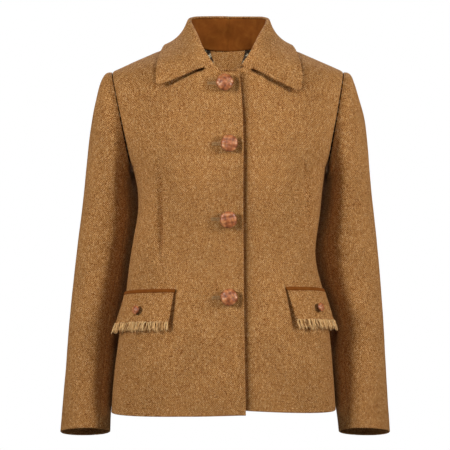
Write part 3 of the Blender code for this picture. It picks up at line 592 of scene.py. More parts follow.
SLEEVE_TUCK = (           # how far the rear of a sleeve lies in behind the body's side
    Tuck(0.00, 0.0000),
    Tuck(0.08, 0.0000),
    Tuck(0.16, 0.0110),
    Tuck(0.22, 0.0115),
    Tuck(0.30, 0.0155),
    Tuck(0.40, 0.0180),
    Tuck(0.54, 0.0115),
    Tuck(0.66, 0.0150),
    Tuck(0.76, 0.0160),
    Tuck(0.84, 0.0105),
    Tuck(0.90, 0.0065),
    Tuck(0.97, 0.0000),
    Tuck(1.00, 0.0000),
)
TUCK_AT = 222.0           # degrees round a sleeve
TUCK_WIDE = 30.0
BACK_FULLNESS = {RIGHT: 0.0040, LEFT: 0.0}  # the right sleeve stands a little fuller behind the upper arm
FULLER_AT = 320.0         # degrees round a sleeve
FULLER_WIDE = 26.0
FULLER_ALONG = 0.27
FULLER_LONG = 0.11
ArmholeFace = namedtuple("ArmholeFace", "degrees out fore up")
ARMHOLE_FACES = (
    ArmholeFace(0, 0.40, 0.00, 0.92),
    ArmholeFace(45, 0.45, 0.60, 0.60),
    ArmholeFace(85, 0.63, 0.77, 0.05),
    ArmholeFace(130, 0.89, 0.46, 0.00),
    ArmholeFace(180, 1.00, 0.00, 0.00),
)
SLEEVE_START = 0.0010
SLEEVE_START_LOW = 0.0026
FORE_SEAM = 128.0
HIND_SEAM = -108.0
print(len(SLEEVE_RINGS), "rings down each sleeve")

# %% Sizes of the collar
CollarStation = namedtuple("CollarStation", "turn fold_x fold_y fold_z edge_x edge_y edge_z belly")
COLLAR_STATIONS = (
    CollarStation(-45, -0.0440, 0.0390, 0.0608, -0.0730, 0.0700, -0.0020, 0.000),
    CollarStation(0, 0.0000, 0.0560, 0.0628, 0.0000, 0.0970, -0.0040, 0.003),
    CollarStation(45, 0.0440, 0.0390, 0.0608, 0.0730, 0.0700, -0.0020, 0.000),
    CollarStation(68, 0.0560, 0.0190, 0.0580, 0.0905, 0.0365, 0.0012, -0.004),
    CollarStation(90, 0.0625, -0.0040, 0.0515, 0.1015, -0.0040, 0.0030, -0.009),
    CollarStation(120, 0.0515, -0.0470, 0.0230, 0.1070, -0.0480, -0.0270, -0.004),
    CollarStation(142, 0.0390, -0.0800, -0.0070, 0.1110, -0.0780, -0.0520, 0.001),
    CollarStation(161, 0.0228, -0.0985, -0.0330, 0.1115, -0.0920, -0.0680, 0.002),
)
COLLAR_END = 161
POINT_STAND_OFF = 0.0066
SHOULDER_STAND_OFF = 0.0042
COLLAR_CLEAR = 0.0022
STAND_INSET = 0.0022
LEFT_POINT_WIDER = 0.003
LEFT_POINT_LOWER = 0.010
LEFT_ROLL_WIDER = 0.003
WIDER_TURNS = (60, 110)     # degrees round the neck over which each of these comes in
LOWER_TURNS = (95, COLLAR_END)
ROLL_WIDER_TURNS = (30, 80)
ROLL_NARROW_TURNS = (100, 140)
print(len(COLLAR_STATIONS), "stations round the collar")

# %% [markdown]
# ## The coat's surfaces
# A panel is a stack of rows from the hem to the shoulder. Each row is a soft arc from the front edge or the
# centre back round to the side seam or the armhole. A sleeve is a stack of rings. All of them give the
# inside of the cloth, and the thickness goes on outside it. A cloth solver could drape the panels, but it
# would leave the solids' shape and cost minutes, while these formulas keep to it exactly.

# %% Curves
def through(rows, column, at):
    """A smooth curve through one column of a table, read at a value of the table's first column."""
    keys = np.array([row[0] for row in rows])
    values = np.array([getattr(row, column) for row in rows])
    slopes = np.gradient(values, keys)
    span = int(np.clip(np.searchsorted(keys, at) - 1, 0, len(keys) - 2))
    width = keys[span + 1] - keys[span]
    share = (min(max(at, keys[0]), keys[-1]) - keys[span]) / width
    rest = 1 - share
    return (
        (1 + 2 * share) * rest**2 * values[span]
        + share * rest**2 * width * slopes[span]
        + share**2 * (3 - 2 * share) * values[span + 1]
        - share**2 * rest * width * slopes[span + 1]
    )


def ease(low, high, at):
    """0 below low, 1 above high and a soft step between."""
    share = np.clip((np.asarray(at, dtype=float) - low) / (high - low), 0, 1)
    return share * share * (3 - 2 * share)


def mix(first, last, share):
    return first + (last - first) * share


def spread(points, distances):
    """Points at the given distances along a polyline."""
    steps = np.linalg.norm(np.diff(points, axis=0), axis=1)
    reached = np.concatenate(([0.0], np.cumsum(steps)))
    return np.column_stack([np.interp(distances, reached, points[:, axis]) for axis in range(3)])


def length_of(points):
    return float(np.linalg.norm(np.diff(points, axis=0), axis=1).sum())


def unit(vector):
    return vector / np.linalg.norm(vector)


print("curves ready")

# %% Sleeve rings, armholes and neckline
def sleeve_ring(side, along, degrees, inset=0.0):
    """Points round a sleeve: 0 degrees is its outer side, 90 its front and 180 the side at the body."""
    name = SIDE_NAME[side]
    outer = np.array((through(SLEEVE_RINGS, name + "_out", along), through(SLEEVE_RINGS, "out_z", along)))
    inner = np.array((through(SLEEVE_RINGS, name + "_in", along), through(SLEEVE_RINGS, "in_z", along)))
    across = (outer - inner) / 2
    across = across * (1 - inset / np.linalg.norm(across))
    middle = (outer + inner) / 2
    half_depth = through(SLEEVE_RINGS, "half_depth", along) - inset
    pitch = math.tan(math.radians(through(SLEEVE_RINGS, "pitch", along)))
    turn = np.radians(degrees)
    outward = np.sign(np.cos(turn)) * np.abs(np.cos(turn)) ** SLEEVE_FULLNESS
    forward = np.sign(np.sin(turn)) * np.abs(np.sin(turn)) ** SLEEVE_FULLNESS
    behind = (degrees % 360 - TUCK_AT) / TUCK_WIDE
    fuller = ((degrees - FULLER_AT + 180) % 360 - 180) / FULLER_WIDE
    swell = BACK_FULLNESS[side] * np.exp(-(fuller**2) - ((along - FULLER_ALONG) / FULLER_LONG) ** 2)
    tuck = through(SLEEVE_TUCK, "depth", along) * np.exp(-(behind**2))
    x = middle[0] + across[0] * outward + swell - tuck
    y = through(SLEEVE_RINGS, "middle_y", along) - half_depth * forward
    z = middle[1] + across[1] * outward + pitch * half_depth * forward
    return np.column_stack((side * x, y, z))


def armhole(side, degrees):
    """The inner edge of the body's cloth round an armhole."""
    point = sleeve_ring(side, 0.0, np.array([degrees]))[0]
    turn = min(degrees, 360 - degrees)
    forward = 1 if degrees <= 180 else -1
    out, fore, up = (float(through(ARMHOLE_FACES, column, turn)) for column in ("out", "fore", "up"))
    return point - CLOTH * unit(np.array((side * out, -forward * fore, up)))


def neck(turn):
    """The neckline: 0 degrees is the nape, 90 the neck's left side and 180 the centre front."""
    side = math.sin(math.radians(turn))
    back = math.cos(math.radians(turn))
    reach = NECK_BACK if back > 0 else NECK_FRONT
    drop = NECK_BACK_DROP if back > 0 else NECK_FRONT_DROP
    return np.array((
        NECK_HALF * side,
        NECK_MIDDLE_Y + reach * back,
        NECK_POINT_Z - drop * abs(back) ** NECK_SCOOP,
    ))


def centre(face, height):
    """The inside of the cloth on the centre line."""
    depth = through(CENTRE_LEVELS, face + "_depth", height) - CLOTH
    return np.array((0.0, -depth if face == "front" else depth, height))


print("neck point at", neck(90).round(3))

# %% Rows of a panel
FRONT_FOOT_SHARE = 0.55     # how far up the armhole a panel's row is when it meets the foot of the neckline
BACK_FOOT_SHARE = 0.70
ROW_TURNS = (90, 56, 26)    # degrees that a row bends through at rows 1, 2 and 3
LINE_POINTS = 121
FOLD_FULL = (0.40, 0.75)    # a fold is full between these shares of its height
DIP_ACROSS = (-0.014, 0.016)    # where the front under the lap dips behind it, at the neck
DIP_UP = (-0.140, -0.060)
RELIEF_FADES = (0.80, 0.98)     # shares of a row, so that the side seam runs smooth
ARMPIT_BLENDS = (0.9, 1.0)


def row_ends(side, face, row):
    """Both ends of a panel's row, its turn in degrees and its reach past the centre line.

    Rows 0 to 1 climb from hem to underarm, 1 to 2 to the neckline's foot, 2 to 3 along the neckline.
    """
    front = face == "front"
    neck_foot = neck(180 if front else 0)[2]
    foot_share = FRONT_FOOT_SHARE if front else BACK_FOOT_SHARE
    reach = 0.0
    if row <= 1:
        hem = HEM_FRONT[side] if front else HEM_BACK
        start = centre(face, mix(hem, UNDERARM, row))
        height = mix(HEM_SIDE[side], UNDERARM, row)
        half = through(SIDE_LEVELS, SIDE_NAME[side] + "_half", height) - CLOTH
        armpit = armhole(side, 180)
        end = np.array((side * half, armpit[1], height))
        end = mix(end, armpit, float(ease(*ARMPIT_BLENDS, row)))
        climb = 0.0
    elif row <= 2:
        start = centre(face, mix(UNDERARM, neck_foot, row - 1))
        climb = foot_share * (row - 1)
    else:
        share = row - 2
        if front:
            share = max(share - TOP_EDGE_SHARE, 0) / (1 - TOP_EDGE_SHARE)
        start = neck(mix(180, 90, share) if front else mix(0, 90, share))
        start[0] *= side
        climb = mix(foot_share, 1.0, row - 2)
    if row > 1:
        end = armhole(side, 180 * (1 - climb) if front else 180 * (1 + climb))
    if front:
        if side == RIGHT:
            reach = through(FRONT_EDGE, "edge_x", start[2])
        else:
            reach = HIDDEN_EDGE
        reach *= 1 - min(max(row - 2, 0) / TOP_EDGE_SHARE, 1)
    turn = float(np.interp(row, (1, 2, 3), ROW_TURNS))
    return start, end, turn, reach


def front_relief(side, points):
    """How far the bust, the folds and the lap move a front: less is further forward."""
    x = points[:, 0]
    z = points[:, 2]
    level = np.exp(-(((z - BUST_Z) / BUST_TALL) ** 2))
    breasts = np.exp(-(((x - BUST_X) / BUST_WIDE) ** 2)) + np.exp(-(((x + BUST_X) / BUST_WIDE) ** 2))
    relief = -BUST_RISE * level * breasts
    for fold in FRONT_FOLDS:
        if fold.side == side:
            full_from, full_to = (mix(fold.bottom, fold.top, share) for share in FOLD_FULL)
            height = ease(fold.bottom, full_from, z) * (1 - ease(full_to, fold.top, z))
            relief = relief + fold.depth * height * np.exp(-(((x - fold.x) / fold.half_width) ** 2))
    if side == RIGHT:
        relief = relief - LAYER * ease(-LAP_INNER, -LAP_OUTER, x)
    else:
        relief = relief + HIDDEN_DIP * (1 - ease(*DIP_ACROSS, x)) * ease(*DIP_UP, z)
    return relief


def row_curve(side, face, row, lap=True):
    """A panel's row as a dense line on the inside of its cloth, from its front edge or centre to the side."""
    start, end, turn, reach = row_ends(side, face, row)
    reach = reach if lap else 0.0
    turn = math.radians(turn)
    wide = abs(end[0] - start[0])
    first = math.asin(min(1.0, (reach / wide) ** (1 / FULLNESS) * math.sin(turn))) / turn
    angle = np.linspace(-first, 1, LINE_POINTS) * turn
    out = np.sign(angle) * (np.abs(np.sin(angle)) / math.sin(turn)) ** FULLNESS
    drawn = np.clip((1 - np.cos(angle)) / (1 - math.cos(turn)), 0, 1)
    back = 1 - (1 - drawn) ** FULLNESS
    points = np.column_stack((
        mix(start[0], end[0], out),
        mix(start[1], end[1], back),
        mix(start[2], end[2], (out - out[0]) / (1 - out[0])),
    ))
    if face == "front":
        points[:, 1] += front_relief(side, points) * (1 - ease(*RELIEF_FADES, out))
    return points


print("a row at the underarm is", round(length_of(row_curve(RIGHT, "front", 1.0)) * MILLIMETRE), "mm long")

# %% [markdown]
# ## From a grid to a sheet of cloth
# Every piece starts as a grid of points on the inside of its cloth. Blender's own unwrap lays that grid
# flat, which is what a paper pattern is, and the weave is then drawn on the flat piece, so it runs true on
# the worn one. The shell is closed: outside, inside and a rim that is rounded where the cloth is folded
# over.

# %% Flat patterns
def grid_faces(rows, columns):
    low = (np.arange(rows - 1)[:, None] * columns + np.arange(columns - 1)).ravel()
    return np.column_stack((low, low + 1, low + columns + 1, low + columns))


def flat_pattern(grid):
    """The grid laid flat, in metres, with its middle column upright."""
    rows, columns = grid.shape[:2]
    mesh = bpy.data.meshes.new("pattern")
    mesh.from_pydata(grid.reshape(-1, 3).tolist(), [], grid_faces(rows, columns).tolist())
    mesh.uv_layers.new(name="flat")
    piece = placed("pattern", mesh)
    bpy.context.view_layer.objects.active = piece
    bpy.ops.object.mode_set(mode="EDIT")
    bpy.ops.mesh.select_all(action="SELECT")
    bpy.ops.uv.unwrap(method="CONFORMAL", margin=0.0)
    bpy.ops.object.mode_set(mode="OBJECT")
    corners = np.zeros(len(mesh.loops), dtype=np.int32)
    mesh.loops.foreach_get("vertex_index", corners)
    places = np.zeros(len(mesh.loops) * 2, dtype=np.float32)
    mesh.uv_layers["flat"].uv.foreach_get("vector", places)
    flat = np.zeros((rows * columns, 2))
    flat[corners] = places.reshape(-1, 2)
    bpy.data.objects.remove(piece)
    bpy.data.meshes.remove(mesh)
    flat = flat.reshape(rows, columns, 2)
    flat = flat * math.sqrt(grid_area(grid) / grid_area(np.pad(flat, ((0, 0), (0, 0), (0, 1)))))
    up = unit(flat[-1, columns // 2] - flat[0, columns // 2])
    return flat @ np.array(((up[1], up[0]), (-up[0], up[1])))


def grid_area(grid):
    across = grid[:-1, 1:] - grid[:-1, :-1]
    along = grid[1:, :-1] - grid[:-1, :-1]
    return float(np.linalg.norm(np.cross(across, along), axis=2).sum())


def normals(grid, inside):
    """Unit normals of a grid, pointing away from the given inside points."""
    face = np.cross(np.gradient(grid, axis=1), np.gradient(grid, axis=0))
    face = face / np.linalg.norm(face, axis=2, keepdims=True)
    return face * (1 if np.sum(face * (grid - inside)) > 0 else -1)


print("patterns ready")

# %% Shells
ROLLED = 0.42               # how far a folded edge rounds out, as a share of the cloth's thickness
SEWN = 0.12                 # a seam's edge reaches just far enough to meet its neighbour


def shell(name, inner, thick, face, finishes, edges, inside_tweed=None, uncreased=None, laid=None):
    """A closed sheet: the grid is its inside and the thickness goes on along the normals.

    edges gives the rounding of the low, last, high and first edge. inside_tweed marks the inner faces that
    show the outer cloth, turned up. The flat pattern is laid, or else found from the grid before it was
    creased.
    """
    rows, columns = inner.shape[:2]
    outer = inner + face * np.broadcast_to(thick, (rows, columns))[:, :, None]
    flat = laid
    if flat is None:
        flat = flat_pattern((inner if uncreased is None else uncreased) + (outer - inner) / 2)
    numbers = np.arange(rows * columns).reshape(rows, columns)
    sides = (numbers[0, :-1], numbers[:-1, -1], numbers[-1, :0:-1], numbers[:0:-1, 0])
    ring = np.concatenate(sides)
    rounding = np.concatenate([np.full(len(part), edge) for part, edge in zip(sides, edges)])
    middle = (inner + outer) / 2
    padded = np.pad(middle, ((1, 1), (1, 1), (0, 0)), mode="reflect")
    out = np.zeros_like(middle)
    out[0] += middle[0] - padded[2, 1:-1]
    out[-1] += middle[-1] - padded[-3, 1:-1]
    out[:, 0] += middle[:, 0] - padded[1:-1, 2]
    out[:, -1] += middle[:, -1] - padded[1:-1, -3]
    away = out.reshape(-1, 3)[ring]
    away = away / np.maximum(np.linalg.norm(away, axis=1, keepdims=True), 1e-9)
    deep = np.linalg.norm((outer - inner).reshape(-1, 3)[ring], axis=1)
    rim = middle.reshape(-1, 3)[ring] + away * (deep * rounding)[:, None]
    total = rows * columns
    points = np.concatenate((outer.reshape(-1, 3), inner.reshape(-1, 3), rim))
    places = np.concatenate((flat.reshape(-1, 2), flat.reshape(-1, 2), flat.reshape(-1, 2)[ring]))
    quads = grid_faces(rows, columns)
    after = np.roll(ring, -1)
    rims = np.arange(len(ring)) + 2 * total
    rims_after = np.roll(rims, -1)
    faces = np.concatenate((
        quads,
        quads[:, ::-1] + total,
        np.column_stack((after, ring, rims, rims_after)),
        np.column_stack((rims_after, rims, ring + total, after + total)),
    ))
    kinds = np.zeros(len(faces), dtype=np.int32)
    hidden = np.ones(len(quads), dtype=bool) if inside_tweed is None else ~inside_tweed.ravel()
    if len(finishes) > 1:
        kinds[len(quads):2 * len(quads)] = hidden
    turned = np.cross(np.gradient(inner, axis=1), np.gradient(inner, axis=0))
    if np.sum(turned * face) < 0:
        faces = faces[:, ::-1]
    return sheet_object(name, points, faces, kinds, places, finishes), flat


def smooth_mesh(name, points, faces, finishes):
    """A mesh with its finishes, shaded smooth."""
    mesh = bpy.data.meshes.new(name)
    mesh.from_pydata(points, [], faces)
    for finish in finishes:
        mesh.materials.append(finish)
    mesh.polygons.foreach_set("use_smooth", np.ones(len(faces), dtype=bool))
    return mesh


def sheet_object(name, points, faces, kinds, places, finishes):
    """A sheet's mesh, with the finish of each face and its place on the flat pattern."""
    mesh = smooth_mesh(name, points.tolist(), faces.tolist(), finishes)
    mesh.polygons.foreach_set("material_index", kinds)
    layer = mesh.uv_layers.new(name="flat")
    layer.uv.foreach_set("vector", places[faces.ravel()].astype(np.float32).ravel())
    mesh.update()
    return placed(name, mesh)


def dress(piece, node, flat=None, inner=None):
    """Let a piece ride on the coat, stand for its solid, and state the cut it was made from."""
    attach(piece, "root")
    if node:
        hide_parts(node)
    words = f"{piece.name}: {len(piece.data.polygons)} faces"
    if flat is not None:
        wide, tall = np.ptp(flat.reshape(-1, 2), axis=0).round(3).tolist()
        area = round(min(grid_area(inner), wide * tall), 6)
        words += f", cut from {wide * MILLIMETRE:.0f} by {tall * MILLIMETRE:.0f} mm, {area:.4f} m2"
    print(words)
    return piece


print("shells ready")

# %% [markdown]
# ## Creases and seams
# A pressed coat that is filled out still has soft drags: from the armpits to the bust, down from the waist,
# and across the bend of the elbows. The long sharp creases beside the bust are its darts, and a narrow dent
# lies along the front of each pocket flap. Each one is a trough along a short line, listed with its own width
# and depth. A cloth solver finds drags too, but not where this coat has them. Every seam sinks a little,
# because the cloth is pulled down along it.

# %% Creases
# One side of a crease is narrower by its sharp share, as where a dart is pressed to that side.
Crease = namedtuple("Crease", "x0 z0 x1 z1 half_width depth sharp", defaults=(1.0,))
RIGHT_FRONT_CREASES = (
    Crease(-0.111, -0.178, -0.106, -0.362, 0.0052, 0.0078, 0.34),
    Crease(-0.150, -0.178, -0.112, -0.232, 0.0130, 0.0020),
    Crease(-0.152, -0.205, -0.120, -0.262, 0.0100, 0.0014),
    Crease(-0.140, -0.300, -0.098, -0.318, 0.0120, 0.0012),
    Crease(-0.088, -0.386, -0.088, -0.402, 0.0012, 0.0008),
    Crease(-0.0855, -0.396, -0.0965, -0.472, 0.0024, 0.0055),
    Crease(-0.135, -0.480, -0.150, -0.605, 0.0220, 0.0020),
    Crease(-0.060, -0.470, -0.066, -0.605, 0.0260, 0.0016),
    Crease(-0.120, -0.045, -0.150, -0.120, 0.0150, 0.0012),
)
LEFT_FRONT_CREASES = (
    Crease(0.138, -0.335, 0.124, -0.178, 0.0052, 0.0068, 0.34),
    Crease(0.155, -0.176, 0.120, -0.226, 0.0140, 0.0020),
    Crease(0.150, -0.212, 0.108, -0.268, 0.0110, 0.0012),
    Crease(0.130, -0.318, 0.080, -0.330, 0.0120, 0.0010),
    Crease(0.100, -0.385, 0.100, -0.398, 0.0012, 0.0008),
    Crease(0.0955, -0.392, 0.1115, -0.468, 0.0024, 0.0055),
    Crease(0.128, -0.470, 0.140, -0.600, 0.0220, 0.0018),
    Crease(0.068, -0.480, 0.074, -0.600, 0.0240, 0.0015),
    Crease(0.118, -0.045, 0.148, -0.115, 0.0150, 0.0012),
)
BACK_CREASES = (
    Crease(-0.140, -0.170, -0.075, -0.215, 0.0150, 0.0022),
    Crease(0.145, -0.160, 0.080, -0.222, 0.0150, 0.0020),
    Crease(-0.120, -0.335, -0.030, -0.350, 0.0110, 0.0020),
    Crease(0.115, -0.350, 0.028, -0.338, 0.0110, 0.0018),
    Crease(-0.095, -0.310, -0.020, -0.322, 0.0090, 0.0012),
    Crease(0.105, -0.318, 0.040, -0.306, 0.0090, 0.0014),
    Crease(-0.100, -0.450, -0.112, -0.605, 0.0240, 0.0024),
    Crease(0.094, -0.455, 0.104, -0.605, 0.0240, 0.0022),
)
UNEVEN = 0.0005             # metres: pressed wool is never quite flat
SEAM_SINK = 0.0007
ARMHOLE_SINK = 0.0014
SEAM_SOFT = 0.0026          # half the width of a seam's valley
CREASE_STARTS = (-0.12, 0.30)   # shares of its line over which a crease deepens, and fades
CREASE_ENDS = (0.70, 1.12)
CLOSE_STEPS = np.array((0.0, 0.0007, 0.0016, 0.0028, 0.0044, 0.0066, 0.0096))


def troughs(across, up, creases):
    """How far the listed creases sink each point, from its two flat coordinates."""
    sunk = np.zeros_like(across)
    for crease in creases:
        start = np.array((crease.x0, crease.z0))
        line = np.array((crease.x1, crease.z1)) - start
        long = float(np.linalg.norm(line))
        line = line / long
        share = ((across - start[0]) * line[0] + (up - start[1]) * line[1]) / long
        aside = (across - start[0]) * line[1] - (up - start[1]) * line[0]
        taper = ease(*CREASE_STARTS, share) * (1 - ease(*CREASE_ENDS, share))
        wide = crease.half_width * np.where(aside < 0, crease.sharp, 1.0)
        sunk += crease.depth * taper * np.exp(-((aside / wide) ** 2))
    return sunk


def unevenness(grid):
    """Slow waves of a few centimetres, from 0 to UNEVEN deep, in radians per metre that don't keep step."""
    x, y, z = (grid[:, :, axis] for axis in range(3))
    wave = np.sin(61 * x + 23 * z + 1.3) * np.sin(47 * z - 19 * x + 31 * y + 0.4)
    wave = wave + 0.6 * np.sin(113 * x - 37 * z + 2.1) * np.sin(97 * z + 41 * y + 5.0)
    return UNEVEN * (0.5 + wave / 3.2)


def from_edge(grid, edge):
    """How far each point is from the low, last, high or first edge, along the grid."""
    axis = 0 if edge in ("low", "high") else 1
    steps = np.linalg.norm(np.diff(grid, axis=axis), axis=2)
    start = np.zeros_like(steps.take([0], axis=axis))
    if edge in ("low", "first"):
        return np.concatenate((start, np.cumsum(steps, axis=axis)), axis=axis)
    return np.flip(np.concatenate((start, np.cumsum(np.flip(steps, axis), axis=axis)), axis=axis), axis)


def valley(distance, deep, soft=SEAM_SOFT):
    """A dent that is deepest at distance 0."""
    return deep * np.exp(-((distance / soft) ** 2))


def beside_ends(whole, count):
    """Distances along a line, closer together beside both ends, where a seam or an edge bends the cloth."""
    between = np.linspace(CLOSE_STEPS[-1], whole - CLOSE_STEPS[-1], count)[1:-1]
    return np.concatenate((CLOSE_STEPS, between, whole - CLOSE_STEPS[::-1]))


print(len(RIGHT_FRONT_CREASES) + len(LEFT_FRONT_CREASES) + len(BACK_CREASES), "creases on the body")

# %% [markdown]
# ## The body
# Two fronts and two backs. The wearer's right front lies over the left one. Its edge lifts a little and the
# front under it gives way, which gives the dark line down the middle of the coat. The fronts give way under
# the collar's edge too. Dark lines could be painted on, but a real dent stays true from every side. Inside,
# the hem and the front edges show turned-up tweed and the rest is lining.

# %% Grids of the fronts and backs
BODY_ROWS = np.concatenate((
    (0.0, 0.0016, 0.004, 0.008, 0.014),
    np.linspace(0.02, 1, 64),
    np.linspace(1, 2, 32)[1:],
    np.linspace(2, 2.97, 30)[1:],
    (2.98, 2.988, 2.995, 3.0),
))
PANEL_POINTS = {"front": 128, "back": 52}


def panel_grid(side, face):
    """Rows of points on the inside of a panel, held back from each seam by half its gap."""
    grid = []
    for row in BODY_ROWS:
        line = row_curve(side, face, row)
        first = 0.0 if face == "front" else SEAM_GAP / 2
        whole = length_of(line) - SEAM_GAP / 2 - first
        grid.append(spread(line, first + beside_ends(whole, PANEL_POINTS[face])))
    grid = np.array(grid)
    step = grid[-2] - grid[-1]
    grid[-1] += step / np.linalg.norm(step, axis=1)[:, None] * SEAM_GAP / 2
    return grid


body_grids = {(part, side): panel_grid(side, part) for side in (RIGHT, LEFT) for part in ("front", "back")}
print("grids of", [grid.shape[:2] for grid in body_grids.values()])

# %% [markdown]
# ## Where the collar's edge lies
# A collar's edge rests on the fronts, and the cloth under it gives way along that line. The line could be
# drawn by hand. Here the collar's own table gives it, and a search tree over the body finds the nearest point
# on the cloth, so the dent follows the collar if its table is changed.

# %% Where the collar's edge lies
COLLAR_LINE_POINTS = 241
POINT_LINE_POINTS = 40
POINT_LINE_FROM = 0.25      # the part of a collar end, from its fold, that stands free of the front


def search_tree(grids):
    """One search tree over several grids, each turned so that its normals face away from the coat's axis."""
    points = []
    faces = []
    for grid in grids:
        quads = grid_faces(*grid.shape[:2])
        turned = np.cross(np.gradient(grid, axis=1), np.gradient(grid, axis=0))
        if np.sum(turned * grid * np.array((1, 1, 0))) < 0:
            quads = quads[:, ::-1]
        faces.extend((quads + len(points)).tolist())
        points.extend(grid.reshape(-1, 3).tolist())
    return BVHTree.FromPolygons(points, faces)


def collar_point(turn, part):
    """A point of the collar's fold or outer edge at a turn round the neck, signed by side."""
    side = LEFT if turn >= 0 else RIGHT
    at = abs(turn)
    x, y, z = (through(COLLAR_STATIONS, f"{part}_{axis}", at) for axis in "xyz")
    if part == "edge" and side == LEFT:
        x += LEFT_POINT_WIDER * float(ease(*WIDER_TURNS, at))
        z -= LEFT_POINT_LOWER * float(ease(*LOWER_TURNS, at))
    elif side == LEFT:
        x += LEFT_ROLL_WIDER * float(ease(*ROLL_WIDER_TURNS, at) * (1 - ease(*ROLL_NARROW_TURNS, at)))
    return np.array((side * x, y, z))


def off_line(grid, line):
    """How far each point of a grid is from the nearest point of a line."""
    far = [np.linalg.norm(line - point, axis=1).min() for point in grid.reshape(-1, 3)]
    return np.array(far).reshape(grid.shape[:2])


body_tree = search_tree(body_grids.values())
collar_turns = np.linspace(-COLLAR_END, COLLAR_END, COLLAR_LINE_POINTS)
collar_line = [collar_point(turn, "edge") for turn in collar_turns]
for turn in (-COLLAR_END, COLLAR_END):
    ends = collar_point(turn, "fold"), collar_point(turn, "edge")
    collar_line.extend(mix(*ends, share) for share in np.linspace(POINT_LINE_FROM, 1, POINT_LINE_POINTS))
collar_line = np.array([body_tree.find_nearest(Vector(point))[0] for point in collar_line])
print("the collar's edge is marked on the body by", len(collar_line), "points")

# %% Fronts and backs
HEM_TURN_UP = 0.040
FRONT_FACING = 0.075
EDGE_LIFT = 0.0038          # the lap's edge stands off the front under it
EDGE_LIFT_WIDE = 0.010
LAP_SINK = 0.0040           # the front under the lap gives way beside its edge
LAP_SOFT = 0.0034
LAP_BESIDE = 0.001
COLLAR_SINK = 0.0065        # and the fronts under the collar's edge
COLLAR_SOFT = 0.0072
UNDERARM_SOFT = 0.005       # half the height over which the side seam becomes the armhole
CREASES = {
    ("front", RIGHT): RIGHT_FRONT_CREASES,
    ("front", LEFT): LEFT_FRONT_CREASES,
    ("back", RIGHT): BACK_CREASES,
    ("back", LEFT): BACK_CREASES,
}


def body_dents(part, side, grid):
    """How far the creases, the seams, the lap and the collar sink each point of a front or back."""
    sunk = troughs(grid[:, :, 0], grid[:, :, 2], CREASES[part, side]) + unevenness(grid)
    above = ease(-UNDERARM_SOFT, UNDERARM_SOFT, grid[:, :, 2] - UNDERARM)
    sunk += valley(from_edge(grid, "last"), mix(SEAM_SINK, ARMHOLE_SINK, above))
    sunk += valley(from_edge(grid, "high"), SEAM_SINK)
    if part == "back":
        return sunk + valley(from_edge(grid, "first"), SEAM_SINK)
    if side == RIGHT:
        sunk -= EDGE_LIFT * (1 - ease(0.0, EDGE_LIFT_WIDE, from_edge(grid, "first")))
    else:
        lap_edge = body_grids["front", RIGHT][:, :1, 0]
        sunk += valley(grid[:, :, 0] - lap_edge - LAP_BESIDE, LAP_SINK, LAP_SOFT)
    return sunk + valley(off_line(grid, collar_line), COLLAR_SINK, COLLAR_SOFT)


for (part, side), grid in body_grids.items():
    face = normals(grid, grid * np.array((0, 0, 1)))
    inner = grid - face * body_dents(part, side, grid)[:, :, None]
    turned = from_edge(grid, "low")[:-1, :-1] < HEM_TURN_UP
    if part == "front":
        turned |= from_edge(grid, "first")[:-1, :-1] < FRONT_FACING
    free = ROLLED if part == "front" else SEWN
    name = f"{part}_{SIDE_NAME[side]}"
    edges = (ROLLED, SEWN, SEWN, free)
    piece, flat = shell(name + "_cloth", inner, CLOTH, face, (tweed, lining), edges, turned, grid)
    dress(piece, name, flat, inner)

# %% [markdown]
# ## The sleeves
# Each sleeve is cut in two, a wide top and a narrow under sleeve, joined by a seam in front and one behind.
# They bend forward at the elbow. Soft folds lie across that bend, and the head of the sleeve has a slight
# dimple where it is eased into the armhole. A bent tube would be quicker, but its weave would not run as cut
# cloth's does. The side at the body falls back in a long hollow, which keeps it in shade.

# %% Folds of the sleeves
SLEEVE_LONG = 0.615         # metres, from the shoulder to the cuff
SLEEVE_ROUND = 0.00076      # metres of cloth in one degree round the arm
SleeveFold = namedtuple("SleeveFold", "side along0 degrees0 along1 degrees1 half_width depth")
SLEEVE_FOLDS = (
    SleeveFold(RIGHT, 0.045, 52, 0.170, 38, 0.0110, 0.0016),
    SleeveFold(RIGHT, 0.060, 5, 0.200, -4, 0.0130, 0.0012),
    SleeveFold(RIGHT, 0.300, 120, 0.355, 45, 0.0120, 0.0016),
    SleeveFold(RIGHT, 0.470, 128, 0.520, 62, 0.0100, 0.0020),
    SleeveFold(RIGHT, 0.545, 126, 0.575, 50, 0.0120, 0.0024),
    SleeveFold(RIGHT, 0.620, 124, 0.610, 72, 0.0100, 0.0016),
    SleeveFold(RIGHT, 0.500, -40, 0.560, -110, 0.0130, 0.0018),
    SleeveFold(RIGHT, 0.600, -60, 0.580, -118, 0.0120, 0.0014),
    SleeveFold(RIGHT, 0.800, 96, 0.770, 40, 0.0120, 0.0010),
    SleeveFold(LEFT, 0.050, 60, 0.160, 46, 0.0110, 0.0014),
    SleeveFold(LEFT, 0.070, 12, 0.210, 2, 0.0130, 0.0012),
    SleeveFold(LEFT, 0.330, 122, 0.370, 52, 0.0120, 0.0014),
    SleeveFold(LEFT, 0.490, 126, 0.530, 54, 0.0110, 0.0022),
    SleeveFold(LEFT, 0.560, 128, 0.600, 66, 0.0110, 0.0020),
    SleeveFold(LEFT, 0.640, 120, 0.625, 60, 0.0100, 0.0014),
    SleeveFold(LEFT, 0.520, -46, 0.570, -116, 0.0130, 0.0018),
    SleeveFold(LEFT, 0.440, -30, 0.500, -100, 0.0140, 0.0014),
    SleeveFold(LEFT, 0.830, 90, 0.790, 30, 0.0120, 0.0010),
)
print(len(SLEEVE_FOLDS), "folds on the sleeves")

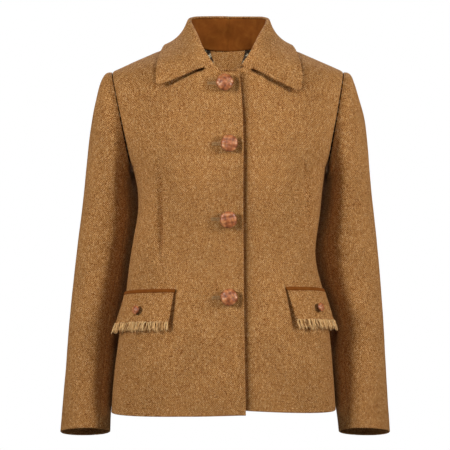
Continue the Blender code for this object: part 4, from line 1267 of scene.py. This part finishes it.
# %% Grids of the sleeves
SLEEVE_ALONG = np.concatenate((
    (0.0, 0.003, 0.007, 0.013),
    np.linspace(0.02, 0.44, 54),
    np.linspace(0.44, 0.985, 70)[1:],
    (0.990, 0.994, 0.9975, 1.0),
))
SLEEVE_PARTS = (
    ("top", HIND_SEAM, FORE_SEAM, 56),
    ("under", FORE_SEAM, HIND_SEAM + 360, 26),
)
RING_POINTS = 121
SLEEVE_FREE = 0.05          # share of the sleeve by which it has left the armhole's own line
INNER_HOLLOW = 0.024        # metres: the sleeve's side at the body falls back in a long soft hollow
HOLLOW_FORE = (102, 146)    # degrees round the arm over which the hollow deepens, and rises again
HOLLOW_HIND = (185, 235)
HOLLOW_TOP = (0.14, 0.30)   # and shares of the sleeve's length
HOLLOW_LOW = (0.90, 1.00)
HOLLOW_HALVED = (0.50, 0.72)    # below the elbow it is half as deep


def sleeve_grid(side, first, last, count):
    """A sleeve piece from seam to seam: its points, their degrees round the arm and the arm's middle."""
    grid = []
    turns = []
    middles = []
    degrees = np.linspace(first, last, RING_POINTS)
    lower = np.clip(-np.cos(np.radians(degrees)), 0, 1)
    for along in SLEEVE_ALONG:
        ring = sleeve_ring(side, along, degrees, CLOTH)
        ring[:, 0] += side * mix(SLEEVE_START, SLEEVE_START_LOW, lower) * (1 - ease(0.0, SLEEVE_FREE, along))
        whole = length_of(ring) - SEAM_GAP
        stops = SEAM_GAP / 2 + beside_ends(whole, count)
        grid.append(spread(ring, stops))
        turns.append(mix(first, last, stops / (whole + SEAM_GAP)))
        middles.append(sleeve_ring(side, along, np.array((0.0, 180.0))).mean(axis=0))
    grid = np.array(grid)
    around = np.array(turns) % 360
    hollow = ease(*HOLLOW_FORE, around) * (1 - ease(*HOLLOW_HIND, around))
    fade = ease(*HOLLOW_TOP, SLEEVE_ALONG) * (1 - ease(*HOLLOW_LOW, SLEEVE_ALONG))
    fade = fade * (1 - 0.5 * ease(*HOLLOW_HALVED, SLEEVE_ALONG))
    grid[:, :, 1] += INNER_HOLLOW * hollow * fade[:, None]
    return grid, np.where(around > 180, around - 360, around), np.array(middles)[:, None, :]


print(len(SLEEVE_ALONG), "rings of points down each sleeve piece")

# %% Sleeves
CUFF_TURN_UP = 0.045

for side in (RIGHT, LEFT):
    creases = [
        Crease(f.degrees0 * SLEEVE_ROUND, f.along0 * SLEEVE_LONG, f.degrees1 * SLEEVE_ROUND,
               f.along1 * SLEEVE_LONG, f.half_width, f.depth)
        for f in SLEEVE_FOLDS if f.side == side
    ]
    for part, first, last, count in SLEEVE_PARTS:
        grid, around, middle = sleeve_grid(side, first, last, count)
        face = normals(grid, middle)
        down = np.broadcast_to(SLEEVE_ALONG[:, None] * SLEEVE_LONG, around.shape)
        sunk = troughs(around * SLEEVE_ROUND, down, creases) + unevenness(grid)
        for seam in ("last", "first", "low"):
            sunk += valley(from_edge(grid, seam), SEAM_SINK)
        inner = grid - face * sunk[:, :, None]
        turned = from_edge(grid, "high")[:-1, :-1] < CUFF_TURN_UP
        name = f"sleeve_{SIDE_NAME[side]}_{part}"
        edges = (SEWN, SEWN, ROLLED, SEWN)
        piece, flat = shell(name + "_cloth", inner, CLOTH, face, (tweed, lining), edges, turned)
        dress(piece, name, flat, inner)

# %% [markdown]
# ## The collar
# A turn-down collar: a suede stand rises from the neckline, and the tweed fall rolls over its top and lies
# on the shoulders, down to two points. The fall's shape runs from the roll to the outer edge on a soft
# curve, and wherever that curve would touch the body it is pushed off to a set distance. A shrinkwrap
# modifier could lay it on the shoulders, but it would follow every dent, where a doubled collar lies smooth.

# %% Shaping a grid
def push_off(point, clear):
    """Move a point out to a set distance from the body where it lies nearer than that."""
    spot, face, _, _ = body_tree.find_nearest(Vector(point))
    away = (Vector(point) - spot).dot(face)
    if away < CLOTH + clear:
        return np.array(spot + face * (CLOTH + clear))
    return point


def softened(grid, times):
    """Each inner point drawn towards its four neighbours, to take out small kinks."""
    grid = grid.copy()
    for _ in range(times):
        near = grid[:-2, 1:-1] + grid[2:, 1:-1] + grid[1:-1, :-2] + grid[1:-1, 2:]
        grid[1:-1, 1:-1] = grid[1:-1, 1:-1] / 2 + near / 8
    return grid


def sampled(grid, rows, columns):
    """The grid read between its points."""
    low = np.clip(np.floor(rows).astype(int), 0, grid.shape[0] - 2)
    left = np.clip(np.floor(columns).astype(int), 0, grid.shape[1] - 2)
    down = (rows - low)[:, :, None]
    across = (columns - left)[:, :, None]
    below = mix(grid[low, left], grid[low, left + 1], across)
    above = mix(grid[low + 1, left], grid[low + 1, left + 1], across)
    return mix(below, above, down)


def rounded_corner(grid, row_edge, column_edge, radius):
    """Draw one corner of a grid in to a curve: the square at the corner is mapped onto a quarter disc."""
    rows, columns = grid.shape[:2]
    from_row = from_edge(grid, row_edge)
    from_column = from_edge(grid, column_edge)
    up = np.clip(1 - from_row / radius, 0, 1)
    side = np.clip(1 - from_column / radius, 0, 1)
    new_row = radius * (1 - up * np.sqrt(1 - side**2 / 2))
    new_column = radius * (1 - side * np.sqrt(1 - up**2 / 2))
    inside = (up > 0) & (side > 0)
    at_row, at_column = np.indices((rows, columns), dtype=float)
    for row, column in zip(*np.nonzero(inside)):
        reach = from_row[:, column]
        order = np.argsort(reach)
        at_row[row, column] = np.interp(new_row[row, column], reach[order], order)
        reach = from_column[row]
        order = np.argsort(reach)
        at_column[row, column] = np.interp(new_column[row, column], reach[order], order)
    return sampled(grid, at_row, at_column)


def band_pattern(grid):
    """A bent band laid straight: lengths round its middle row, and lengths down each column."""
    middle = grid[len(grid) // 2]
    across = np.zeros(grid.shape[:2])
    across[:, 1:] = np.cumsum(np.linalg.norm(np.diff(middle, axis=0), axis=1))
    return np.stack((across, from_edge(grid, "low")), axis=2)


print("grids can be pushed off, softened and rounded")

# %% Lines of the collar
COLLAR_TURNS = np.concatenate((
    np.linspace(-COLLAR_END, -COLLAR_END + 3, 7)[:-1],
    np.linspace(-COLLAR_END + 3, COLLAR_END - 3, 150),
    np.linspace(COLLAR_END - 3, COLLAR_END, 7)[1:],
))
STAND_SHARES = np.linspace(0, 1, 14)
STAND_FOOT_DROP = 0.0015    # the stand starts this far below the neckline
STAND_LEAST = 0.0040        # and is at least this tall
ROLL_POINTS = 7
ROLL_RISE = 0.0013
ROLL_ROOM = 0.0016          # between the stand's top and the fold, and behind the stand
ROLL_BEGINS = 0.0005        # above the stand's top
ROLL_ENDS = 0.0008
FALL_SHARES = np.concatenate((np.linspace(0, 0.94, 34)[1:], (0.955, 0.968, 0.979, 0.988, 0.995, 1.0)))
FALL_FREE = 0.16            # share of the fall, from its roll, that is never near the body
POINT_TURNS = (105, 145)    # degrees round the neck where the shoulder part becomes the points
UP = np.array((0.0, 0.0, 1.0))

stand_grid = []
fall_grid = []
for turn in COLLAR_TURNS:
    root = neck(abs(turn)) * np.array((1 if turn >= 0 else -1, 1, 1))
    fold = collar_point(turn, "fold")
    if turn < 0:
        lap = LAYER * float(ease(-LAP_INNER, -LAP_OUTER, root[0]))
        root[1] -= lap
        fold[1] -= lap
    out = unit(np.array((root[0], root[1] - NECK_MIDDLE_Y, 0)))
    foot = root - out * (STAND_CLOTH + STAND_INSET) - UP * STAND_FOOT_DROP
    head = fold - UP * (FALL_CLOTH + ROLL_ROOM)
    head[2] = max(head[2], foot[2] + STAND_LEAST)
    stand_grid.append([mix(foot, head, share) for share in STAND_SHARES])
    begin = head + UP * ROLL_BEGINS
    over = head + UP * ROLL_ENDS + out * (STAND_CLOTH + ROLL_ROOM)
    spot, face, _, _ = body_tree.find_nearest(Vector(collar_point(turn, "edge")))
    stand_off = mix(SHOULDER_STAND_OFF, POINT_STAND_OFF, float(ease(*POINT_TURNS, abs(turn))))
    edge = np.array(spot + face * (CLOTH + stand_off))
    belly = through(COLLAR_STATIONS, "belly", abs(turn))
    pull = (over + edge) / 2 + (out + UP) * belly
    profile = []
    for share in np.linspace(0, 1, ROLL_POINTS):
        profile.append(mix(begin, over, share) + UP * ROLL_RISE * math.sin(math.pi * share))
    for share in FALL_SHARES:
        rest = 1 - share
        point = rest * rest * over + 2 * rest * share * pull + share * share * edge
        profile.append(push_off(point, COLLAR_CLEAR) if share > FALL_FREE else point)
    fall_grid.append(profile)
print(len(fall_grid), "lines down the collar")

# %% Collar
COLLAR_SMOOTHING = 6
COLLAR_UNEVEN = 0.6         # doubled cloth is flatter than the body's
POINT_ROUND = 0.007         # the collar's points are turned to a small curve
BELOW_COLLAR = np.array((0, 0, 0.2))

fall_grid = softened(np.array(fall_grid).transpose(1, 0, 2), COLLAR_SMOOTHING)
for end in ("first", "last"):
    fall_grid = rounded_corner(fall_grid, "high", end, POINT_ROUND)
face = normals(fall_grid, fall_grid[:1] - BELOW_COLLAR)
sunk = unevenness(fall_grid) * COLLAR_UNEVEN
inner = fall_grid - face * sunk[:, :, None]
edges = (SEWN, ROLLED, ROLLED, ROLLED)
laid = band_pattern(inner)
piece, flat = shell("collar_fall_cloth", inner, FALL_CLOTH, face, (tweed,), edges, laid=laid)
dress(piece, "collar_fall", flat, inner)

stand_grid = np.array(stand_grid).transpose(1, 0, 2)
face = -normals(stand_grid, np.array((0.0, NECK_MIDDLE_Y, 0.0)))
inner = stand_grid - face * STAND_CLOTH
piece, flat = shell("collar_stand_suede", inner, STAND_CLOTH, face, (suede,), (SEWN, SEWN, SEWN, SEWN))
dress(piece, "collar_stand", flat, stand_grid)

# %% [markdown]
# ## Inside the neck
# Below the stand a piece of tweed faces the middle of the back, and the printed lining shows as a dark strip
# on each side of it. Both could be painted on the backs' inside, but real pieces keep their own edges. Each
# is laid against the inside of the backs, by a ray shot straight back for every point.

# %% Facing and lining
FACING_HALF_TOP = 0.0305
FACING_HALF_LOW = 0.0090
LINING_HALF = 0.0620
INSIDE_LOW = -0.060         # the lower edge of both pieces inside the back
INSIDE_BELOW_NECK = 0.0015
FACING_OVER_SEAM = 0.0025   # its top edge is sewn up onto the stand
INSIDE_ROWS = 24
LINING_COLUMNS = 41         # odd, so that no point falls on the seam down the back
FACING_COLUMNS = 25


def back_inside(x, height, depth):
    """A point inside the back, at a place across and up in the front view, moved in off the cloth."""
    spot, face, _, _ = body_tree.ray_cast(Vector((x, 0, height)), Vector((0, 1, 0)))
    return np.array(spot - face * depth)


def inside_grid(half_low, half_top, columns, depth):
    """A piece laid inside the back, from its low edge up to the neckline."""
    grid = []
    for share in np.linspace(0, 1, INSIDE_ROWS + 1):
        half = mix(half_low, half_top, share)
        line = []
        for x in np.linspace(-half, half, columns + 1):
            top = neck(math.degrees(math.asin(abs(x) / NECK_HALF)))[2] - INSIDE_BELOW_NECK
            line.append(back_inside(x, mix(INSIDE_LOW, top, share), depth))
        grid.append(line)
    return np.array(grid)


layer = LINING_CLOTH + LIFT
lining_grid = inside_grid(LINING_HALF, LINING_HALF, LINING_COLUMNS, layer)
facing_grid = inside_grid(FACING_HALF_LOW, FACING_HALF_TOP, FACING_COLUMNS, 2 * layer)
facing_grid[-1, :, 2] += FACING_OVER_SEAM
for name, grid, finish, slot in (
    ("neck_lining", lining_grid, lining, "lining"),
    ("back_neck_facing", facing_grid, tweed, "tweed"),
):
    face = normals(grid, grid + np.array((0.0, 0.1, 0.0)))
    behind = grid - face * LINING_CLOTH
    edges = (ROLLED, ROLLED, SEWN, ROLLED)
    piece, flat = shell(name + "_cloth", behind, LINING_CLOTH, face, (finish,), edges)
    dress(piece, name, flat, behind)

# %% [markdown]
# ## The pocket flaps
# Each flap hangs from a strip of suede piping and wraps round to the side of the coat. Its foot is frayed:
# the weft is drawn out and the warp is left as a fringe, stopped by a line of machine stitches. A flat card
# could be bent to the body with a modifier. Here each point is placed by its distance round the skirt, so
# that the flap keeps its cut width.

# %% Round the skirt
FLAP_FRONT = {RIGHT: 0.0870, LEFT: 0.0960}
FLAP_LEAN = {RIGHT: 0.0070, LEFT: 0.0130}
FLAP_TOP = {RIGHT: -0.4045, LEFT: -0.4010}
FLAP_WIDE = {RIGHT: 0.126, LEFT: 0.119}
FLAP_TALL = 0.047
FLAP_SLANT = 0.008
FLAP_FRONT_FLARE = 0.0050
FLAP_REAR_FLARE = 0.0070
FLARE_LATE = 1.2            # above 1 a flap stands off more towards its foot
LOOK_AHEAD = 0.002          # metres along the cloth, to find which way it faces


@functools.lru_cache(maxsize=None)
def skirt_line(side, height):
    """The inside of the cloth at a height, from the centre front round the side to the centre back."""
    share = (height - HEM_SIDE[side]) / (UNDERARM - HEM_SIDE[side])
    front = row_curve(side, "front", share, lap=False)
    line = np.concatenate((front, row_curve(side, "back", share)[-2::-1]))
    line[:, 2] = height
    return line


def skirt_point(side, height, distance, lift):
    """A point below the underarm, a distance round from the centre front, moved off the cloth."""
    line = skirt_line(side, round(height, 4))
    here, ahead = spread(line, np.array((distance, distance + LOOK_AHEAD)))
    along = unit(ahead - here)
    here[2] = height
    return here + np.array((along[1], -along[0], 0)) * side * lift


def skirt_distance(side, height, x):
    """How far round from the centre front the cloth is the given distance from the centre line."""
    line = skirt_line(side, height)
    line = line[:int(np.argmax(np.abs(line[:, 0]))) + 1]
    nearest = int(np.argmin(np.abs(np.abs(line[:, 0]) - x)))
    return length_of(line[:nearest + 1])


FLAP_START = {side: skirt_distance(side, FLAP_TOP[side], FLAP_FRONT[side]) for side in (RIGHT, LEFT)}


def flap_point(side, share, down, depth):
    """A point of a flap: share runs from its front edge to its rear, down from its top to its foot."""
    height = FLAP_TOP[side] - FLAP_SLANT * share**2 - FLAP_TALL * down
    front = FLAP_START[side] + FLAP_LEAN[side] * down
    flare = mix(FLAP_FRONT_FLARE, FLAP_REAR_FLARE, share) * max(down, 0) ** FLARE_LATE
    return skirt_point(side, height, front + FLAP_WIDE[side] * share, CLOTH + LIFT + flare + depth)


print("flaps start", [round(start * MILLIMETRE) for start in FLAP_START.values()], "mm round from the centre")

# %% Flaps and piping
FLAP_COLUMNS = 60
FLAP_ROWS = 30
FLAP_CORNER = 0.004
FLAP_WAVE = 0.0006          # the flap's face swells a little between its ends
STITCH_DOWN = 0.83          # how far down the flap the stitch line runs
STITCH_SINK = 0.0013
STITCH_SOFT = 0.0014
FRONT_STITCH = 0.0100       # from the flap's front edge to the sewn line along it
FRONT_STITCH_SINK = 0.7 * STITCH_SINK
PIPING_ROWS = 13
PIPING_TALL = 0.0060
PIPING_DEEP = 0.0022
PIPING_EDGE = 0.0006        # its depth along both edges
PIPING_OVER = 0.0015        # past the flap at each end


def flap_grid(side, downs, shares):
    """Points of a flap, or of the piping above it, and their normals."""
    grid = np.array([[flap_point(side, share, down, 0) for share in shares] for down in downs])
    return grid, normals(grid, grid * np.array((0, 0, 1)))


for side in (RIGHT, LEFT):
    word = SIDE_NAME[side]
    wide = FLAP_WIDE[side]
    shares = beside_ends(wide, FLAP_COLUMNS) / wide
    downs = 1 - beside_ends(FLAP_TALL, FLAP_ROWS) / FLAP_TALL
    grid, _ = flap_grid(side, downs, shares)
    grid = rounded_corner(grid, "low", "first", FLAP_CORNER)
    face = normals(grid, grid * np.array((0, 0, 1)))
    level = np.broadcast_to(downs[:, None], grid.shape[:2])
    along_foot = valley((level - STITCH_DOWN) * FLAP_TALL, STITCH_SINK, STITCH_SOFT)
    along_front = valley(shares * wide - FRONT_STITCH, FRONT_STITCH_SINK, STITCH_SOFT)
    swell = FLAP_WAVE * np.clip(level, 0, 1) * (0.5 + 0.5 * np.sin(shares * 11 + side))
    thick = FLAP_CLOTH - (np.maximum(along_foot, along_front) - swell)
    edges = (ROLLED, ROLLED, SEWN, ROLLED)
    piece, flat = shell(f"pocket_flap_{word}_cloth", grid, thick, face, (tweed,), edges)
    dress(piece, f"pocket_flap_{word}", flat, grid)
    rolls = np.linspace(0, 1, PIPING_ROWS)
    shares = np.linspace(-PIPING_OVER / wide, 1 + PIPING_OVER / wide, FLAP_COLUMNS)
    grid, face = flap_grid(side, -(SEAM_GAP + PIPING_TALL * rolls) / FLAP_TALL, shares)
    bulge = PIPING_EDGE + (PIPING_DEEP - PIPING_EDGE) * np.sqrt(np.clip(1 - (2 * rolls - 1) ** 2, 0, 1))
    edges = (ROLLED, ROLLED, ROLLED, ROLLED)
    piece, flat = shell(f"pocket_piping_{word}_suede", grid, bulge[:, None], face, (suede,), edges)
    dress(piece, f"pocket_piping_{word}")

# %% [markdown]
# ## Frayed edges and stitches
# A fringe is hundreds of separate yarns that hang together in locks. Each is a thin tube on a wavering line
# that starts inside the flap's foot. Stitches are short fat threads, sunk a little at both ends. Hair
# particles could do both, but they leave no mesh to hand on. So many small tubes are joined into one mesh.

# %% Tubes
TUBE_LEAD = np.array((0.31, 0.87, 0.38))    # any direction that no tube here runs along


def tube(points, radii, sides):
    """Rings of points round a line, and the faces that join them and close both ends."""
    points = np.asarray(points, dtype=float)
    ahead = np.gradient(points, axis=0)
    ahead = ahead / np.linalg.norm(ahead, axis=1, keepdims=True)
    right = np.cross(ahead, TUBE_LEAD)
    right = right / np.linalg.norm(right, axis=1, keepdims=True)
    up = np.cross(right, ahead)
    turns = np.arange(sides) * math.tau / sides
    rings = points[:, None] + np.asarray(radii)[:, None, None] * (
        np.cos(turns)[None, :, None] * right[:, None] + np.sin(turns)[None, :, None] * up[:, None]
    )
    quads = []
    for ring in range(len(points) - 1):
        for corner in range(sides):
            after = (corner + 1) % sides
            low = ring * sides
            quads.append((low + corner, low + after, low + sides + after, low + sides + corner))
    caps = [tuple(range(sides))[::-1], tuple((len(points) - 1) * sides + corner for corner in range(sides))]
    return rings.reshape(-1, 3), quads + caps


def joined(name, tubes, finish):
    """Many tubes as one mesh object."""
    points = []
    faces = []
    for rings, quads in tubes:
        faces.extend(tuple(len(points) + corner for corner in quad) for quad in quads)
        points.extend(rings.tolist())
    return placed(name, smooth_mesh(name, points, faces, (finish,)))


print("tubes ready")

# %% Fringe
FRINGE_YARNS = 300
FRINGE_LONG = 0.0175
YARN_RADIUS = 0.00042
FRINGE_SEED = 11
FRINGE_LOCKS = 38           # the yarns hang together in locks, with dark gaps between
LOCK_GATHER = 0.80
LOCK_LEAN = 0.0020
LOCK_LONG = (0.80, 1.10)
LOCK_OUT = (0.0, 0.0022)
YARN_DEEP = (0.0002, 0.0022)    # how far off the flap's back a yarn starts
YARN_LONG = (0.62, 1.0)
YARN_LEAN = 0.0016
YARN_CURL = (0.0002, 0.0008)
CURL_ASIDE = 7              # radians of curl down a yarn, sideways and outwards
CURL_OUT = 6
YARN_THICK = (0.75, 1.2)
YARN_TAPER = np.array((1, 1, 1.05, 1.1, 1.05, 1.0, 0.85, 0.5))
YARN_TUCKED = 0.06          # share of its length that is inside the flap

for side in (RIGHT, LEFT):
    dice = random.Random(FRINGE_SEED + side)
    word = SIDE_NAME[side]
    tubes = []
    lock_lean = [dice.gauss(0, LOCK_LEAN) for _ in range(FRINGE_LOCKS + 2)]
    lock_long = [dice.uniform(*LOCK_LONG) for _ in range(FRINGE_LOCKS + 2)]
    lock_out = [dice.uniform(*LOCK_OUT) for _ in range(FRINGE_LOCKS + 2)]
    for number in range(FRINGE_YARNS):
        share = (number + dice.uniform(0.1, 0.9)) / FRINGE_YARNS
        depth = dice.uniform(*YARN_DEEP)
        long = FRINGE_LONG * dice.uniform(*YARN_LONG)
        lean = dice.gauss(0, YARN_LEAN)
        curl = dice.uniform(*YARN_CURL)
        lock = math.floor(share * FRINGE_LOCKS)
        gather = LOCK_GATHER * ((lock + 0.5) / FRINGE_LOCKS - share) * FLAP_WIDE[side] + lock_lean[lock]
        long *= lock_long[lock]
        depth += lock_out[lock]
        phase = dice.uniform(0, math.tau)
        line = []
        for step in np.linspace(-YARN_TUCKED, 1, len(YARN_TAPER)):
            aside = lean * step**1.5 + gather * step**0.5 if step > 0 else 0.0
            aside += curl * math.sin(phase + CURL_ASIDE * step) * max(step, 0)
            out = depth + curl * math.cos(phase + CURL_OUT * step) * max(step, 0)
            here = share + aside / FLAP_WIDE[side]
            line.append(flap_point(side, min(max(here, -0.01), 1.01), 1 + step * long / FLAP_TALL, out))
        thin = YARN_RADIUS * dice.uniform(*YARN_THICK)
        tubes.append(tube(line, thin * YARN_TAPER, 5))
    piece = joined(f"flap_fringe_{word}_yarn", tubes, straw)
    dress(piece, f"flap_fringe_{word}")

# %% Flap stitching
STITCH_LONG = 0.0027
STITCH_EVERY = 0.0036
STITCH_RADIUS = 0.00032
STITCH_TAPER = np.array((0.6, 1, 1.1, 1, 0.6))
STITCH_ARCH = 0.0002        # its middle stands up between its two holes
STITCH_FIRST = 0.7          # of a stitch's room, before the first one

for side in (RIGHT, LEFT):
    word = SIDE_NAME[side]
    tubes = []
    for number in range(int(FLAP_WIDE[side] / STITCH_EVERY) - 1):
        line = []
        for step in np.linspace(0, 1, len(STITCH_TAPER)):
            share = ((number + STITCH_FIRST) * STITCH_EVERY + STITCH_LONG * step) / FLAP_WIDE[side]
            raised = FLAP_CLOTH - STITCH_SINK + STITCH_ARCH * math.sin(math.pi * step)
            line.append(flap_point(side, share, STITCH_DOWN, raised))
        tubes.append(tube(line, STITCH_RADIUS * STITCH_TAPER, 6))
    dress(joined(f"flap_stitching_{word}", tubes, dark_thread), None)

# %% [markdown]
# ## Knot buttons
# A leather knot button is plaited from narrow straps over a core: three straps run one way, three the other,
# and they pass over and under. Each button is turned by hand to its own angle when it is sewn on. Six bent
# straps could be modelled one by one. The dome here is one fine mesh instead, raised where a strap comes up
# and sunk where it dives, which leaves no gaps.

# %% Knot buttons
FRONT_BUTTONS = (           # across and height
    (-0.0045, -0.0645),
    (0.0025, -0.1630),
    (0.0010, -0.2840),
    (0.0020, -0.4120),
)
FRONT_BUTTON_ROUND = 0.028
FLAP_BUTTON_ROUND = 0.015
FLAP_BUTTON_SHARE = {RIGHT: 0.45, LEFT: 0.40}
FLAP_BUTTON_DOWN = 0.60
BUTTON_DEEP = 0.42          # of its diameter
SHANK_TALL = 0.0030
STRAPS = 3                  # each way
STRAP_RISE = 0.060          # of the diameter
STRAP_LEVEL = 0.55          # the plait's height that lies on the plain dome
STRAP_EDGE = 0.5            # how far a strap falls from its crown to its edge
STRAP_MEAN = 0.60           # a strap's height half way between over and under
STRAP_SWING = 0.40
KNOT_RINGS = 46
KNOT_STEPS = 96
FRONT_KNOT_TURNS = (38, 12, 80, 55)     # degrees
FLAP_KNOT_TURNS = {RIGHT: 30, LEFT: 65}
SHANK_WIDE = 0.30           # of the radius
SHANK_HEAD = 0.40
DOME_MIDDLE = 0.45          # of its depth, the level where it is widest
DOME_TURNS = (-66, 89)      # degrees of latitude that the dome covers
DOME_SQUARE = 0.8           # below 1 it is squarer than a ball
PLAIT_RISES = (0.36, 0.74)  # of its depth, where the plait begins and has its full height
PAINTED_SHADE_FROM = 0.80           # the plait's height below which the leather gets painted shade
PAINTED_SHADE_OVER = 0.50           # and the drop over which the painted shade gets as dark as it will
PAINTED_SHADE_STRAPS = 0.75         # how dark the painted shade is between the straps
PAINTED_SHADE_UNDER = 0.9           # and how dark the painted shade is under the dome
PAINTED_SHADE_POLES = (0.5, 0.0)    # painted shade at the foot and at the crown


def plait(across, up):
    """How high the plaited straps stand at places from -1 to 1: 0 between straps, 1 on a strap's crown."""
    lanes = []
    for run, side in ((across, up), (up, across)):
        lane = np.clip((side + 1) * STRAPS / 2, 0, STRAPS - 1e-6)
        along = (run + 1) * STRAPS / 2
        crown = 1 - STRAP_EDGE * np.abs(2 * (lane % 1) - 1) ** 3
        sign = np.where(np.floor(lane) % 2 == 0, 1.0, -1.0)
        wave = sign * np.cos(math.pi * (along - 0.5))
        lanes.append(crown * (STRAP_MEAN + STRAP_SWING * (wave if run is across else -wave)))
    return np.maximum(lanes[0], lanes[1])


def knot_button(name, node, size, spot, face, turned):
    """A knot of one fine mesh on a short shank, stood on a spot of cloth along its normal."""
    radius = size / 2
    deep = BUTTON_DEEP * size
    stem = [(SHANK_WIDE, 0.0), (SHANK_WIDE, SHANK_TALL), (SHANK_HEAD, SHANK_TALL)]
    profile = [(radius * share, height) for share, height in stem]
    for latitude in np.radians(np.linspace(*DOME_TURNS, KNOT_RINGS)):
        level = DOME_MIDDLE + (1 - DOME_MIDDLE) * math.sin(latitude)
        profile.append((radius * math.cos(latitude) ** DOME_SQUARE, SHANK_TALL + deep * level))
    profile = np.array(profile)
    turns = np.arange(KNOT_STEPS) * math.tau / KNOT_STEPS
    across = profile[:, :1] * np.cos(turns) / radius
    up = profile[:, :1] * np.sin(turns) / radius
    cosine = math.cos(math.radians(turned))
    sine = math.sin(math.radians(turned))
    straps = plait(across * cosine - up * sine, across * sine + up * cosine)
    upper = ease(*(SHANK_TALL + deep * share for share in PLAIT_RISES), profile[:, 1])[:, None]
    sink = STRAP_RISE * size * (straps - STRAP_LEVEL) * upper
    slope = np.gradient(profile, axis=0)
    lean = np.column_stack((slope[:, 1], -slope[:, 0]))
    lean = lean / np.maximum(np.linalg.norm(lean, axis=1, keepdims=True), 1e-9)
    reach = profile[:, :1] + lean[:, :1] * sink
    height = profile[:, 1:] + lean[:, 1:] * sink
    rings = np.stack((reach * np.cos(turns), reach * np.sin(turns), height), axis=2)
    points = np.concatenate((rings.reshape(-1, 3), ((0, 0, 0), (0, 0, height[-1].mean()))))
    count = len(profile)
    low = (np.arange(count - 1)[:, None] * KNOT_STEPS + np.arange(KNOT_STEPS)).ravel()
    after = (np.arange(count - 1)[:, None] * KNOT_STEPS + (np.arange(KNOT_STEPS) + 1) % KNOT_STEPS).ravel()
    faces = np.column_stack((low, after, after + KNOT_STEPS, low + KNOT_STEPS)).tolist()
    under = count * KNOT_STEPS
    top = under + 1
    for step in range(KNOT_STEPS):
        beside = (step + 1) % KNOT_STEPS
        faces.append((under, beside, step))
        faces.append((top, under - KNOT_STEPS + step, under - KNOT_STEPS + beside))
    mesh = smooth_mesh(name, points.tolist(), faces, (leather,))
    between = mesh.attributes.new("painted_knot_shade", "FLOAT", "POINT")
    # Painted shade: the leather is darkened between the straps and on the dome's underside.
    painted_shade = PAINTED_SHADE_STRAPS * np.clip((PAINTED_SHADE_FROM - straps) / PAINTED_SHADE_OVER, 0, 1) * upper
    painted_shade = painted_shade + PAINTED_SHADE_UNDER * (1 - upper)
    between.data.foreach_set("value", np.concatenate((painted_shade.ravel(), PAINTED_SHADE_POLES)).astype(np.float32))
    piece = placed(name, mesh)
    piece.rotation_euler = Vector(face).to_track_quat("Z", "Y").to_euler()
    piece.location = Vector(spot) + Vector(face) * SEAM_GAP
    dress(piece, node)


print("a plait of", STRAPS, "straps each way")

# %% Buttons in their places
BEFORE_COAT = -0.4          # metres: rays towards the front start here
BACKWARD = Vector((0, 1, 0))

for number, (across, height) in enumerate(FRONT_BUTTONS, start=1):
    spot, face, _, _ = body_tree.ray_cast(Vector((across, BEFORE_COAT, height)), BACKWARD)
    spot = spot + face * CLOTH
    node = f"front_button_{number}"
    knot_button(f"{node}_knot", node, FRONT_BUTTON_ROUND, spot, face, FRONT_KNOT_TURNS[number - 1])
for side in (RIGHT, LEFT):
    share = FLAP_BUTTON_SHARE[side]
    raised = FLAP_CLOTH + SEAM_GAP
    here = flap_point(side, share, FLAP_BUTTON_DOWN, raised)
    beside = flap_point(side, share + 0.05, FLAP_BUTTON_DOWN, raised) - here
    below = flap_point(side, share, FLAP_BUTTON_DOWN + 0.10, raised) - here
    face = unit(np.cross(below, beside)) * side
    node = f"flap_button_{SIDE_NAME[side]}"
    knot_button(f"{node}_knot", node, FLAP_BUTTON_ROUND, here, face, FLAP_KNOT_TURNS[side])

# %% [markdown]
# ## Buttonholes
# A tailored buttonhole is a slot with threads worked close together along both lips and a bar at its end.
# Only the end that the button doesn't cover shows, as a few pale threads. A bump could draw them, but tubes
# give threads that catch the light, like those of the flaps' stitching.

# %% Buttonholes
HOLE_START = 0.004          # from the button's middle, towards the coat's edge
HOLE_END = -0.0275
HOLE_LIP = 0.0024
HOLE_SLOT = 0.0003
HOLE_THREADS = 34
HOLE_RADIUS = 0.00036
HOLE_STITCH = (             # share of the lip and height of a stitch's three points
    (0.0, 0.0000),
    (0.5, 0.0003),
    (1.0, -0.0001),
)
HOLE_TAPER = np.array((1, 1.1, 0.8))
BAR_HALF = 0.003
BAR_PAST = 0.0006           # beyond the last stitch
BAR_RISE = 0.0002
BAR_TAPER = np.array((0.8, 1.4, 1.5, 1.4, 0.8))

right_front_tree = search_tree([body_grids["front", RIGHT]])


def on_right_front(x, z, lift):
    """A point on the outside of the right front, from its place in the front view."""
    spot, face, _, _ = right_front_tree.ray_cast(Vector((x, BEFORE_COAT, z)), BACKWARD)
    return np.array(spot + face * (CLOTH + lift))


for number, (across, height) in enumerate(FRONT_BUTTONS, start=1):
    tubes = []
    for at in np.linspace(HOLE_END, HOLE_START, HOLE_THREADS):
        for lip in (1, -1):
            line = []
            for share, lift in HOLE_STITCH:
                up = HOLE_SLOT + HOLE_LIP * share
                line.append(on_right_front(across + at, height + lip * up, lift))
            tubes.append(tube(line, HOLE_RADIUS * HOLE_TAPER, 5))
    end = across + HOLE_END - BAR_PAST
    ups = np.linspace(-BAR_HALF, BAR_HALF, len(BAR_TAPER))
    bar = [on_right_front(end, height + up, BAR_RISE) for up in ups]
    tubes.append(tube(bar, HOLE_RADIUS * BAR_TAPER, 6))
    dress(joined(f"buttonhole_{number}", tubes, thread), None)

# %% [markdown]
# ## The coat's box
# The box round the dressed coat and the box round the solids are both printed. The dressed coat must stay
# within the solids' box, apart from what cloth may stand proud.

# %% Sizes and finish
shown_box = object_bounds()
sizes = {
    "cad": [[float(v) for v in corner] for corner in solid_box],
    "visual": [[float(v) for v in corner] for corner in shown_box],
}
for word, corners in sizes.items():
    print(word, [[round(v, 4) for v in corner] for corner in corners])
